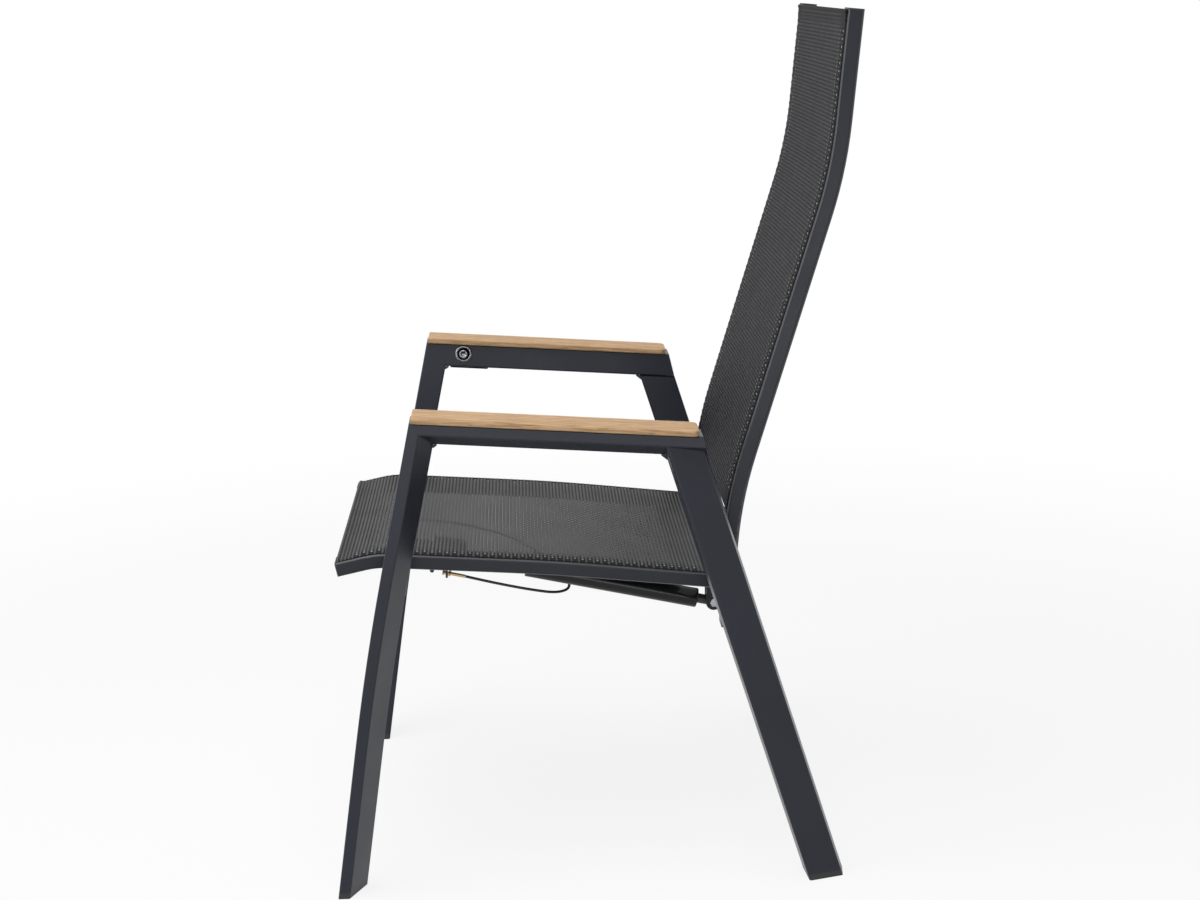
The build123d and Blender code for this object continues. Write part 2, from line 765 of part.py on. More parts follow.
def button_plate():
    """Thin cover plate on the sloping lower face of the right arm rail."""
    plane = under_rail_plane()
    start = (plate_start_y - arm_corner[0]) / math.cos(to_rad(arm_slope))
    across = -1 if plane.y_dir.X < 0 else 1
    down = -1 if plane.z_dir.Z > 0 else 1
    middle = Pos(start + plate_length / 2, across * (leg_edge_radius + plate_width / 2), down * running_gap)
    outline = middle * RectangleRounded(plate_length, plate_width, leg_edge_radius)
    return other_side(extrude(plane * outline, amount=down * plate_thickness))


def right_arm_rail():
    body = other_side(arm_rail())
    return body - rod_x(-leg_inner_x - barrel_length - plug_gap, 0, button_y, rail_button_z,
                        barrel_radius + plug_gap)


# Control cable

def cable_outlet():
    """Grommet where the cable leaves the right front leg."""
    body = rod_x(-leg_inner_x, -leg_inner_x + outlet_length, outlet_y, outlet_z, outlet_radius)
    body = fillet(body.edges().filter_by(GeomType.CIRCLE).sort_by(Axis.X)[-1], outlet_edge_radius)
    return body


adjuster_end = turned(adjuster_front_y, adjuster_front_z, -adjuster_drop, adjuster_length + seat_gap)
cable_route = [
    (-leg_inner_x + outlet_length, outlet_y, outlet_z),
    (-241.0, outlet_y, outlet_z),
    (-215.0, -236.0, 374.5),
    (-182.0, -190.0, 377.0),
    (-146.0, -146.0, 374.5),
    (-111.0, -102.0, 366.5),
    (-74.0, -64.0, 351.5),
    (-43.0, -38.0, 334.5),
    (-24.0, -27.0, 317.5),
    (-11.0, -48.0, 313.5),
    (-4.0, -86.0, 322.0),
    (0.0, -122.0, 331.3),
    (0.0, -154.0, 339.3),
    (0.0, adjuster_end[0], adjuster_end[1]),
]


def cable():
    """Bowden cable: straight runs joined by tangent arcs as large as the runs allow."""
    points = [Vector(*p) for p in cable_route]
    runs = [(b - a).length for a, b in zip(points, points[1:])]
    radii = []
    for i in range(1, len(points) - 1):
        turn = (points[i] - points[i - 1]).get_angle(points[i + 1] - points[i])
        radii.append(cable_arc_share * min(runs[i - 1], runs[i]) / math.tan(to_rad(turn / 2)))
    print("cable runs", [round(r, 1) for r in runs])
    print("cable radii", [round(r, 1) for r in radii])
    path = FilletPolyline(*points, radius=radii)
    tube = sweep(Plane(origin=points[0], z_dir=points[1] - points[0]) * Circle(cable_radius), path=path)
    print("cable length", round(path.length, 1))
    return tube


# Assembly

def build():
    nodes = {}

    def pair(name, part):
        nodes["left_" + name] = part
        nodes["right_" + name] = other_side(part)

    pair("front_leg", front_leg())
    nodes["left_arm_rail"] = arm_rail()
    nodes["right_arm_rail"] = right_arm_rail()
    pair("rear_leg", rear_leg())
    pair("armrest", armrest())
    pair("front_foot", foot(front_leg_bar(), front_leg_bar(tube_wall + plug_gap)))
    pair("rear_foot", foot(rear_leg_bar(), rear_leg_bar(tube_wall + plug_gap)))
    pair("arm_end_cap", rail_end_cap())
    nodes["front_cross_tube"] = cross_tube(front_cross_y, front_cross_z, leg_inner_x)
    rear_cross_y = rear_heel_y + rear_leg_depth / 2 / math.cos(to_rad(rear_leg_rake)) \
        - rear_cross_z * math.tan(to_rad(rear_leg_rake))
    nodes["rear_cross_tube"] = cross_tube(rear_cross_y, rear_cross_z, leg_inner_x)
    pair("seat_glide", glide())
    pair("pivot_spacer", pivot_spacer())
    pair("pivot_stud", pivot_stud())
    nodes["spring_front_bracket"] = front_bracket()
    nodes["spring_front_pin"] = front_pin()
    nodes["button_housing"] = button_housing()
    nodes["button_plate"] = button_plate()
    nodes["cable_outlet"] = cable_outlet()
    nodes["control_cable"] = cable()

    pair("back_rail", back_rail())
    nodes["back_sling"] = above_foot(sling(back_points, back_radii))
    pair("back_keder", above_foot(keder(back_points, back_radii)))
    back_inner_x = rail_outer_x - rail_width
    nodes["back_top_bar"] = end_bar(head_top, head_angle, -top_bar_width, back_inner_x,
                                    rail_depth, top_bar_width)
    nodes["back_lower_bar"] = cross_tube(pivot_y, lower_bar_z, back_inner_x,
                                         lower_bar_depth, lower_bar_height, rail_edge_radius)
    nodes["back_top_caps"] = both(rail_cap(head_top, head_angle, rail_depth, rear_radius=back_rear_radius))
    nodes["back_foot_caps"] = both(rail_cap(back_low, -90, rail_depth, rear_radius=back_rear_radius))
    nodes["spring_rear_bracket"] = rear_bracket()
    nodes["spring_rear_bolt"] = rear_bolt()
    pair("seat_pivot_pin", seat_pin())

    pair("seat_rail", seat_rail())
    nodes["seat_sling"] = sling(seat_points, seat_radii)
    pair("seat_keder", keder(seat_points, seat_radii))
    nodes["seat_front_bar"] = end_bar(seat_front, nose_drop, front_bar_place, seat_inner_x,
                                      seat_rail_depth, front_bar_width)
    nodes["seat_rear_bar"] = end_bar(seat_rear, -rear_seat_slope, -rear_bar_place,
                                     seat_inner_x - hinge_plate, seat_rail_depth, rear_bar_width)
    nodes["seat_front_caps"] = both(rail_cap(seat_front, 180 + nose_drop, seat_rail_depth, seat_extra))
    nodes["seat_rear_caps"] = both(rail_cap(seat_rear, -rear_seat_slope, seat_rail_depth, seat_extra))
    pair("seat_hinge_plate", hinge_strap())

    nodes["spring_rod"] = spring_rod()
    nodes["release_head"] = release_head()
    nodes["lever_pin"] = lever_pin()
    nodes["cable_adjuster"] = cable_adjuster()
    nodes["spring_cylinder"] = spring_cylinder()
    nodes["spring_rear_eye"] = rear_eye()
    nodes["release_lever"] = release_lever()
    nodes["push_button"] = push_button()
    return nodes


def main():
    os.makedirs("parts", exist_ok=True)
    for name, part in build().items():
        export_step(part, os.path.join("parts", name + ".step"))


main()
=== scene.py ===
import json
import math

import bpy
import numpy as np
from mathutils import Matrix, Vector


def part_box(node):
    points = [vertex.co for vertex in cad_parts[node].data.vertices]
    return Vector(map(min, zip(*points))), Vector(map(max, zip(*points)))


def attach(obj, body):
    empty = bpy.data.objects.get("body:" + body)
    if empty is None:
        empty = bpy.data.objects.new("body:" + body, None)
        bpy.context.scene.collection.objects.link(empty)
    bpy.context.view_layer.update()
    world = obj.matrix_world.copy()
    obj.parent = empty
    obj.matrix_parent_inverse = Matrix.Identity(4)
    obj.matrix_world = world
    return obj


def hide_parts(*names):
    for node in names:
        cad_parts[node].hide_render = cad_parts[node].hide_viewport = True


# Reclining garden armchair: finishes, woven slings with hems and stitches, release button, arm rail ends, control
# cable and a pale studio.
# Metres. +Z is up, the chair faces -Y and +X is the sitter's left.

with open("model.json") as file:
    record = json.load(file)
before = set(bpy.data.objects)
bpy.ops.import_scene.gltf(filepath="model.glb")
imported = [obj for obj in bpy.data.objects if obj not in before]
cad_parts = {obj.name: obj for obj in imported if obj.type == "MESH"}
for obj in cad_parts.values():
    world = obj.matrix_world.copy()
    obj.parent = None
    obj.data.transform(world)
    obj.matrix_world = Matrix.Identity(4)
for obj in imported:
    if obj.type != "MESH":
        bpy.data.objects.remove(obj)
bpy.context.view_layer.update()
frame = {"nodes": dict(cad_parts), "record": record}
cadNodes = frame["nodes"]
mm = 0.001
print("frame loaded:", len(cadNodes), "nodes")


# Mesh helpers

def gridFaces(rows, columns, wrapColumns=False):
    # quads that join each point of a grid to its next row and next column
    r = np.arange(rows - 1)
    c = np.arange(columns if wrapColumns else columns - 1)
    a, b = np.meshgrid(r, c, indexing="ij")
    b2 = (b + 1) % columns
    quads = [a * columns + b, a * columns + b2, (a + 1) * columns + b2, (a + 1) * columns + b]
    return np.stack(quads, -1).reshape(-1, 4)


def signedVolume(points, faces):
    a, b, c, d = (points[faces[:, i]] for i in range(4))
    return float((a * np.cross(b, c)).sum() + (a * np.cross(c, d)).sum()) / 6


def makePiece(name, points, faces, body, material, uv=None, smooth=True):
    # closed mesh of quads, turned so that its faces point outwards
    points = points.reshape(-1, 3)
    if signedVolume(points - points.mean(0), faces) < 0:
        faces = faces[:, ::-1]
    mesh = bpy.data.meshes.new(name)
    mesh.vertices.add(len(points))
    mesh.vertices.foreach_set("co", points.astype(np.float32).ravel())
    mesh.loops.add(faces.size)
    mesh.loops.foreach_set("vertex_index", faces.astype(np.int32).ravel())
    mesh.polygons.add(len(faces))
    mesh.polygons.foreach_set("loop_start", np.arange(0, faces.size, 4, dtype=np.int32))
    mesh.update(calc_edges=True)
    if uv is not None:
        layer = mesh.uv_layers.new(name="clothMap")
        layer.data.foreach_set("uv", uv.reshape(-1, 2)[faces.ravel()].astype(np.float32).ravel())
    mesh.polygons.foreach_set("use_smooth", np.full(len(faces), smooth))
    mesh.materials.append(material)
    piece = bpy.data.objects.new(name, mesh)
    bpy.context.scene.collection.objects.link(piece)
    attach(piece, body)
    return piece


def sidePath(corners, radii, count):
    # corners joined by straight runs and tangent arcs: the heading is constant on a run and turns evenly along an
    # arc, and the place is the running sum of the heading's cosine and sine
    runs = np.diff(np.array(corners), axis=0)
    heading = np.arctan2(runs[:, 1], runs[:, 0])
    turn = np.abs(np.diff(heading))
    cut = np.array(radii) * np.tan(turn / 2)
    straight = np.hypot(runs[:, 0], runs[:, 1]) - np.append(cut, 0) - np.insert(cut, 0, 0)
    arcs = np.append(np.array(radii) * turn, 0)
    breaks = np.append(0, np.cumsum(np.stack([straight, arcs], 1).ravel()))[:-1]
    along = np.linspace(0, breaks[-1], count)
    angle = np.interp(along, breaks, np.repeat(heading, 2))
    step = along[1]
    c = np.cos(angle)
    s = np.sin(angle)
    y = corners[0][0] + np.append(0, np.cumsum((c[1:] + c[:-1]) / 2)) * step
    z = corners[0][1] + np.append(0, np.cumsum((s[1:] + s[:-1]) / 2)) * step
    return along, np.stack([y, z], 1), np.stack([-s, c], 1)


def cubeBead(cells):
    # cube whose six faces carry a grid, with each point pushed out to the unit ball; doubles are merged
    t = np.tan(np.linspace(-1, 1, cells + 1) * math.pi / 4)
    a, b = np.meshgrid(t, t, indexing="ij")
    one = np.ones_like(a)
    sides = []
    for axis in range(3):
        for sign in (1, -1):
            corner = [a, b * sign, one * sign]
            sides.append(np.stack([corner[(i - axis) % 3] for i in range(3)], -1).reshape(-1, 3))
    points = np.concatenate(sides)
    points /= np.linalg.norm(points, axis=1, keepdims=True)
    side = gridFaces(cells + 1, cells + 1)
    faces = np.concatenate([side + k * (cells + 1) ** 2 for k in range(6)])
    _, first, back = np.unique(points.round(6), axis=0, return_index=True, return_inverse=True)
    return points[first], back.ravel()[faces]


def scatter(shape, faces, centres, axes):
    # copies of a small shape at many places; each copy's point is its centre plus the shape's point times the
    # copy's three half sizes, given as vectors
    points = centres[:, None, :] + np.einsum("pk,nkj->npj", shape, axes)
    every = faces[None] + (np.arange(len(centres)) * len(shape))[:, None, None]
    return points.reshape(-1, 3), every.reshape(-1, 4)


# Node helpers

def addNode(tree, kind, inputs=None, **settings):
    node = tree.nodes.new(kind)
    for key, value in settings.items():
        setattr(node, key, value)
    for key, value in (inputs or {}).items():
        if isinstance(value, bpy.types.NodeSocket):
            tree.links.new(value, node.inputs[key])
        else:
            node.inputs[key].default_value = value
    return node


def maths(tree, operation, a, b=0.0, clamp=False):
    return addNode(tree, "ShaderNodeMath", {0: a, 1: b}, operation=operation, use_clamp=clamp).outputs[0]


def blendColors(tree, factor, a, b):
    node = addNode(tree, "ShaderNodeMix", {0: factor, 6: a, 7: b}, data_type="RGBA")
    return node.outputs[2]


def smoothStep(tree, value, low, high):
    node = addNode(tree, "ShaderNodeMapRange", {"Value": value, "From Min": low, "From Max": high},
                   interpolation_type="SMOOTHSTEP")
    return node.outputs["Result"]


def newGroup(name, inputs, outputs):
    group = bpy.data.node_groups.new(name, "ShaderNodeTree")
    for socketName, kind, value in inputs:
        socket = group.interface.new_socket(name=socketName, in_out="INPUT", socket_type=kind)
        if value is not None:
            socket.default_value = value
    for socketName, kind in outputs:
        group.interface.new_socket(name=socketName, in_out="OUTPUT", socket_type=kind)
    return group, group.nodes.new("NodeGroupInput"), group.nodes.new("NodeGroupOutput")


def placeGroup(tree, group, **values):
    node = tree.nodes.new("ShaderNodeGroup")
    node.node_tree = group
    for key, value in values.items():
        socketName = "".join(" " + ch if ch.isupper() else ch for ch in key).strip().title()
        if isinstance(value, bpy.types.NodeSocket):
            tree.links.new(value, node.inputs[socketName])
        else:
            node.inputs[socketName].default_value = value
    return node


def newMaterial(name, roughness, **sockets):
    material = bpy.data.materials.new(name)
    material.use_nodes = True
    tree = material.node_tree
    shader = tree.nodes["Principled BSDF"]
    shader.inputs["Roughness"].default_value = roughness
    for key, value in sockets.items():
        shader.inputs[key.replace("_", " ")].default_value = value
    return material, tree, shader


floatSocket = "NodeSocketFloat"
vectorSocket = "NodeSocketVector"


def buildSurfaceGrain():
    # fine grain of a coated or moulded surface, with slow patches of tone over it
    tree, inputs, outputs = newGroup(
        "surfaceGrain",
        [("Vector", vectorSocket, None), ("Grain Scale", floatSocket, 900.0), ("Patch Scale", floatSocket, 14.0)],
        [("Height", floatSocket), ("Tone", floatSocket)])
    grain = addNode(tree, "ShaderNodeTexNoise", {"Vector": inputs.outputs["Vector"],
                                                 "Scale": inputs.outputs["Grain Scale"], "Detail": 3.0})
    patch = addNode(tree, "ShaderNodeTexNoise", {"Vector": inputs.outputs["Vector"],
                                                 "Scale": inputs.outputs["Patch Scale"], "Detail": 4.0})
    tone = smoothStep(tree, patch.outputs["Fac"], 0.3, 0.7)
    fine = maths(tree, "MULTIPLY", grain.outputs["Fac"], 0.35)
    tree.links.new(grain.outputs["Fac"], outputs.inputs["Height"])
    tree.links.new(maths(tree, "ADD", maths(tree, "MULTIPLY", tone, 0.65), fine), outputs.inputs["Tone"])
    return tree


def buildSlingWeave():
    # ribs across the sling one row apart; in the valleys between them slits alternate with knots, and each
    # valley's knots stand half a knot pitch from those of the next
    tree, inputs, outputs = newGroup(
        "slingWeave",
        [("Vector", vectorSocket, None), ("Row Pitch", floatSocket, 0.005), ("Knot Pitch", floatSocket, 0.013),
         ("Slit Width", floatSocket, 0.07), ("Slit Length", floatSocket, 0.66), ("Valley Half", floatSocket, 0.12),
         ("Crest Half", floatSocket, 0.36)],
        [("Open", floatSocket), ("Rib", floatSocket), ("Height", floatSocket)])
    parts = addNode(tree, "ShaderNodeSeparateXYZ", {0: inputs.outputs["Vector"]})
    rows = maths(tree, "DIVIDE", parts.outputs["Y"], inputs.outputs["Row Pitch"])
    valley = maths(tree, "ROUND", rows)
    offset = maths(tree, "ABSOLUTE", maths(tree, "SUBTRACT", rows, valley))
    odd = maths(tree, "MULTIPLY", maths(tree, "PINGPONG", valley, 1.0), 0.5)
    columns = maths(tree, "ADD", maths(tree, "DIVIDE", parts.outputs["X"], inputs.outputs["Knot Pitch"]), odd)
    toKnot = maths(tree, "ABSOLUTE", maths(tree, "SUBTRACT", columns, maths(tree, "ROUND", columns)))
    halfSlit = maths(tree, "MULTIPLY", inputs.outputs["Slit Width"], 0.5)
    inWidth = maths(tree, "LESS_THAN", offset, halfSlit)
    knotHalf = maths(tree, "SUBTRACT", 0.5, maths(tree, "MULTIPLY", inputs.outputs["Slit Length"], 0.5))
    inLength = maths(tree, "GREATER_THAN", toKnot, knotHalf)
    ribNode = addNode(tree, "ShaderNodeMapRange", {"Value": offset, "From Min": inputs.outputs["Valley Half"],
                                                   "From Max": inputs.outputs["Crest Half"]},
                      interpolation_type="SMOOTHSTEP")
    twist = addNode(tree, "ShaderNodeTexWave", {"Vector": inputs.outputs["Vector"], "Scale": 95.0,
                                                "Distortion": 1.2, "Detail": 1.0}, bands_direction="DIAGONAL")
    strands = maths(tree, "MULTIPLY", twist.outputs["Fac"], 0.22)
    tree.links.new(maths(tree, "MULTIPLY", inWidth, inLength), outputs.inputs["Open"])
    tree.links.new(ribNode.outputs["Result"], outputs.inputs["Rib"])
    tree.links.new(maths(tree, "ADD", ribNode.outputs["Result"], strands), outputs.inputs["Height"])
    return tree


def buildWoodGrain():
    # growth bands and long fibres that run along the board, stretched about twenty times along it
    tree, inputs, outputs = newGroup(
        "woodGrain",
        [("Vector", vectorSocket, None), ("Band Scale", floatSocket, 30.0), ("Fibre Scale", floatSocket, 500.0)],
        [("Band", floatSocket), ("Fibre", floatSocket), ("Pore", floatSocket)])
    stretched = addNode(tree, "ShaderNodeMapping", {"Vector": inputs.outputs["Vector"], "Scale": (1.0, 0.055, 1.0)})
    wobble = addNode(tree, "ShaderNodeTexNoise", {"Vector": stretched.outputs[0], "Scale": 22.0, "Detail": 3.0})
    bent = addNode(tree, "ShaderNodeVectorMath", {0: wobble.outputs["Color"], 1: (0.02, 0.02, 0.02),
                                                  2: stretched.outputs[0]}, operation="MULTIPLY_ADD")
    band = addNode(tree, "ShaderNodeTexWave", {"Vector": bent.outputs[0], "Scale": inputs.outputs["Band Scale"],
                                               "Distortion": 2.5, "Detail": 3.0, "Detail Scale": 1.5})
    fibre = addNode(tree, "ShaderNodeTexNoise", {"Vector": stretched.outputs[0],
                                                 "Scale": inputs.outputs["Fibre Scale"], "Detail": 4.0})
    pores = addNode(tree, "ShaderNodeTexNoise", {"Vector": stretched.outputs[0], "Scale": 1100.0, "Detail": 1.0})
    tree.links.new(band.outputs["Fac"], outputs.inputs["Band"])
    tree.links.new(fibre.outputs["Fac"], outputs.inputs["Fibre"])
    tree.links.new(smoothStep(tree, pores.outputs["Fac"], 0.62, 0.72), outputs.inputs["Pore"])
    return tree


surfaceGrain = buildSurfaceGrain()
slingWeave = buildSlingWeave()
woodGrain = buildWoodGrain()


# Finishes

def edgeHighlightMask(tree):
    # 1 on a side rail's rounded long edges, where a highlight is painted: nx^2 (1 - nx^2) is greatest where the
    # normal leans 45 degrees off X
    normal = addNode(tree, "ShaderNodeTexCoord").outputs["Normal"]
    across = addNode(tree, "ShaderNodeSeparateXYZ", {0: normal}).outputs["X"]
    square = maths(tree, "MULTIPLY", across, across)
    return smoothStep(tree, maths(tree, "MULTIPLY", square, maths(tree, "SUBTRACT", 1.0, square)), 0.05, 0.2)


def coatedFinish(name, dark, light, roughness, grainScale, bumpDepth, edge=None, **sockets):
    # a coated, moulded or cast surface: one colour with slight patches and a fine grain, with a painted highlight on
    # a rail's rounded edges
    material, tree, shader = newMaterial(name, roughness, **sockets)
    place = addNode(tree, "ShaderNodeTexCoord").outputs["Object"]
    grain = placeGroup(tree, surfaceGrain, vector=place, grainScale=grainScale)
    color = blendColors(tree, grain.outputs["Tone"], dark, light)
    # painted highlight: a rail's rounded edges are painted lighter, standing in for the lamps' reflection on them
    if edge:
        color = blendColors(tree, maths(tree, "MULTIPLY", edgeHighlightMask(tree), edge["share"]), color, edge["color"])
    tree.links.new(color, shader.inputs["Base Color"])
    spread = maths(tree, "MULTIPLY", maths(tree, "SUBTRACT", grain.outputs["Tone"], 0.5), 0.12)
    tree.links.new(maths(tree, "ADD", spread, roughness), shader.inputs["Roughness"])
    bump = addNode(tree, "ShaderNodeBump", {"Height": grain.outputs["Height"], "Strength": 0.5,
                                            "Distance": bumpDepth})
    tree.links.new(bump.outputs[0], shader.inputs["Normal"])
    return material


def metalFinish(name, color, roughness, lineScale):
    # bare metal with slight patches and a fine grain
    material, tree, shader = newMaterial(name, roughness, Metallic=1.0)
    place = addNode(tree, "ShaderNodeTexCoord").outputs["Object"]
    grain = placeGroup(tree, surfaceGrain, vector=place, grainScale=lineScale, patchScale=60.0)
    darker = tuple(c * 0.78 for c in color[:3]) + (1.0,)
    tree.links.new(blendColors(tree, grain.outputs["Tone"], darker, color), shader.inputs["Base Color"])
    spread = maths(tree, "MULTIPLY", grain.outputs["Tone"], 0.12)
    tree.links.new(maths(tree, "ADD", spread, roughness), shader.inputs["Roughness"])
    bump = addNode(tree, "ShaderNodeBump", {"Height": grain.outputs["Height"], "Strength": 0.3,
                                            "Distance": 0.02 * mm})
    tree.links.new(bump.outputs[0], shader.inputs["Normal"])
    return material


def slingFinish(name, cloth):
    # woven coated yarn: lighter ribs, and valleys painted dark as painted shade between them, with see-through slits;
    # beside the keder rods and over the bar at the hem the slits close and the valleys widen, and the hem carries
    # bands of painted shade
    material, tree, shader = newMaterial(name, 0.55, Specular_IOR_Level=cloth["specular"])
    uv = addNode(tree, "ShaderNodeUVMap", uv_map="clothMap").outputs[0]
    parts = addNode(tree, "ShaderNodeSeparateXYZ", {0: uv})
    inset = maths(tree, "SUBTRACT", cloth["grooveX"], maths(tree, "ABSOLUTE", parts.outputs["X"]))
    fringe = smoothStep(tree, inset, cloth["fringeEnd"], cloth["fringeStart"])
    fromHem = maths(tree, "ABSOLUTE", maths(tree, "SUBTRACT", parts.outputs["Y"], cloth["hemAt"]))
    overBar = maths(tree, "LESS_THAN", fromHem, cloth["hemLength"] + cloth["hemOpen"])
    backed = maths(tree, "MAXIMUM", fringe, overBar)

    def eased(plain, whereBacked):
        # from the plain value to the one for backed cloth
        return maths(tree, "ADD", maths(tree, "MULTIPLY", backed, whereBacked - plain), plain)

    weave = placeGroup(tree, slingWeave, vector=uv, rowPitch=cloth["rowPitch"], knotPitch=cloth["knotPitch"],
                       slitWidth=eased(cloth["slitWidth"], 0.0), slitLength=cloth["slitLength"],
                       valleyHalf=eased(cloth["valleyHalf"], cloth["fringeValley"]),
                       crestHalf=eased(cloth["crestHalf"], cloth["fringeCrest"]))
    place = addNode(tree, "ShaderNodeTexCoord").outputs["Object"]
    grain = placeGroup(tree, surfaceGrain, vector=place, grainScale=1500.0, patchScale=25.0)
    ribColor = blendColors(tree, grain.outputs["Tone"], cloth["yarnDark"], cloth["yarnLight"])
    # seen straight on the cloth is lighter than at a flat angle, where each rib shades the next
    facing = addNode(tree, "ShaderNodeLayerWeight", {"Blend": 0.5}).outputs["Facing"]
    lighter = tuple(c * cloth["straightOn"] for c in cloth["yarnLight"][:3]) + (1.0,)
    ribColor = blendColors(tree, smoothStep(tree, facing, 0.75, 0.3), ribColor, lighter)
    # painted shade: the valleys between the ribs take the near-black valley colour
    color = blendColors(tree, weave.outputs["Rib"], cloth["valley"], ribColor)
    # painted shade: dark bands across the hem, in its grooves and along its seam, mixed towards the valley colour
    for low, high, depth in cloth["hemBands"]:
        middle = (low + high) / 2
        away = maths(tree, "ABSOLUTE", maths(tree, "SUBTRACT", fromHem, middle))
        band = smoothStep(tree, away, (high - low) / 2 + 0.8 * mm, (high - low) / 2 - 0.8 * mm)
        color = blendColors(tree, maths(tree, "MULTIPLY", band, depth), color, cloth["valley"])
    if cloth["blackTo"]:
        black = smoothStep(tree, inset, cloth["blackTo"] + 1.5 * mm, cloth["blackTo"] - 1.5 * mm)
        color = blendColors(tree, maths(tree, "MULTIPLY", black, 0.85), color, cloth["valley"])
    tree.links.new(color, shader.inputs["Base Color"])
    bump = addNode(tree, "ShaderNodeBump", {"Height": weave.outputs["Height"], "Strength": 0.8,
                                            "Distance": 0.5 * mm})
    tree.links.new(bump.outputs[0], shader.inputs["Normal"])
    seenThrough = maths(tree, "MULTIPLY", weave.outputs["Open"], cloth["clear"])
    tree.links.new(maths(tree, "SUBTRACT", 1.0, seenThrough), shader.inputs["Alpha"])
    return material


def teakFinish(name, wood, slope):
    # oiled teak with its grain along the board
    material, tree, shader = newMaterial(name, wood["roughness"], Specular_IOR_Level=0.35)
    place = addNode(tree, "ShaderNodeTexCoord").outputs["Object"]
    turned = addNode(tree, "ShaderNodeMapping", {"Vector": place, "Rotation": (slope, 0.0, 0.0)})
    grain = placeGroup(tree, woodGrain, vector=turned.outputs[0], bandScale=wood["bandScale"],
                       fibreScale=wood["fibreScale"])
    color = blendColors(tree, grain.outputs["Band"], wood["light"], wood["middle"])
    color = blendColors(tree, smoothStep(tree, grain.outputs["Fibre"], 0.38, 0.68), color, wood["deep"])
    color = blendColors(tree, maths(tree, "MULTIPLY", grain.outputs["Pore"], 0.55), color, wood["pore"])
    tree.links.new(color, shader.inputs["Base Color"])
    height = maths(tree, "SUBTRACT", grain.outputs["Fibre"], grain.outputs["Pore"])
    bump = addNode(tree, "ShaderNodeBump", {"Height": height, "Strength": 0.6, "Distance": 0.12 * mm})
    tree.links.new(bump.outputs[0], shader.inputs["Normal"])
    return material


armSlope = math.radians(4.4)
coatTones = ((0.014, 0.017, 0.027, 1.0), (0.018, 0.021, 0.033, 1.0))
railTones = ((0.009, 0.011, 0.018, 1.0), (0.012, 0.014, 0.022, 1.0))
# painted highlight along the rails' rounded long edges: this lighter colour is mixed in there
railEdgeHighlight = {"share": 0.9, "color": (0.075, 0.08, 0.09, 1.0)}
woodTones = {
    "light": (0.6, 0.4, 0.225, 1.0), "middle": (0.46, 0.285, 0.14, 1.0), "deep": (0.36, 0.21, 0.098, 1.0),
    "pore": (0.18, 0.095, 0.045, 1.0), "roughness": 0.55, "bandScale": 34.0, "fibreScale": 420.0,
}
finishes = {
    "frame_coat": coatedFinish("powderCoat", *coatTones, 0.34, 1100.0, 0.05 * mm, Specular_IOR_Level=0.3),
    "teak": teakFinish("oiledTeak", woodTones, armSlope),
    "keder_cord": coatedFinish("kederPlastic", (0.008, 0.008, 0.009, 1.0), (0.013, 0.013, 0.014, 1.0), 0.6, 700.0,
                               0.05 * mm),
    "black_plastic": coatedFinish("mouldedPlastic", (0.011, 0.011, 0.012, 1.0), (0.018, 0.018, 0.02, 1.0), 0.5,
                                  1500.0, 0.08 * mm),
    "spring_black": coatedFinish("glossBlack", (0.005, 0.005, 0.005, 1.0), (0.008, 0.008, 0.008, 1.0), 0.3, 400.0,
                                 0.01 * mm, Specular_IOR_Level=0.12, Coat_Weight=0.35, Coat_Roughness=0.06),
    "chrome_rod": metalFinish("chromedRod", (0.62, 0.62, 0.63, 1.0), 0.08, 500.0),
    "cast_zinc": coatedFinish("blackCasting", (0.012, 0.012, 0.013, 1.0), (0.022, 0.022, 0.023, 1.0), 0.4, 800.0,
                              0.1 * mm),
    "brass_screw": metalFinish("turnedBrass", (0.55, 0.4, 0.2, 1.0), 0.3, 900.0),
    "cable_sheath": coatedFinish("cableSheath", (0.006, 0.006, 0.006, 1.0), (0.01, 0.01, 0.01, 1.0), 0.32, 500.0,
                                 0.02 * mm),
    "button_chrome": metalFinish("satinChrome", (0.24, 0.24, 0.26, 1.0), 0.14, 700.0),
    "bright_steel": metalFinish("zincPlated", (0.55, 0.55, 0.56, 1.0), 0.28, 900.0),
}
slotOf = {part["node"]: part["material_slot"] for part in frame["record"]["subparts"]}
finishes["sling_fabric"] = finishes["keder_cord"]  # only on the hidden solids that the slings stand for
railFinish = coatedFinish("railCoat", *railTones, 0.34, 1100.0, 0.05 * mm, edge=railEdgeHighlight, Specular_IOR_Level=0.3)
for name, node in cadNodes.items():
    node.data.materials.clear()
    node.data.materials.append(railFinish if name.endswith(("seat_rail", "back_rail")) else finishes[slotOf[name]])
print("finishes made:", len(finishes))


# Slings

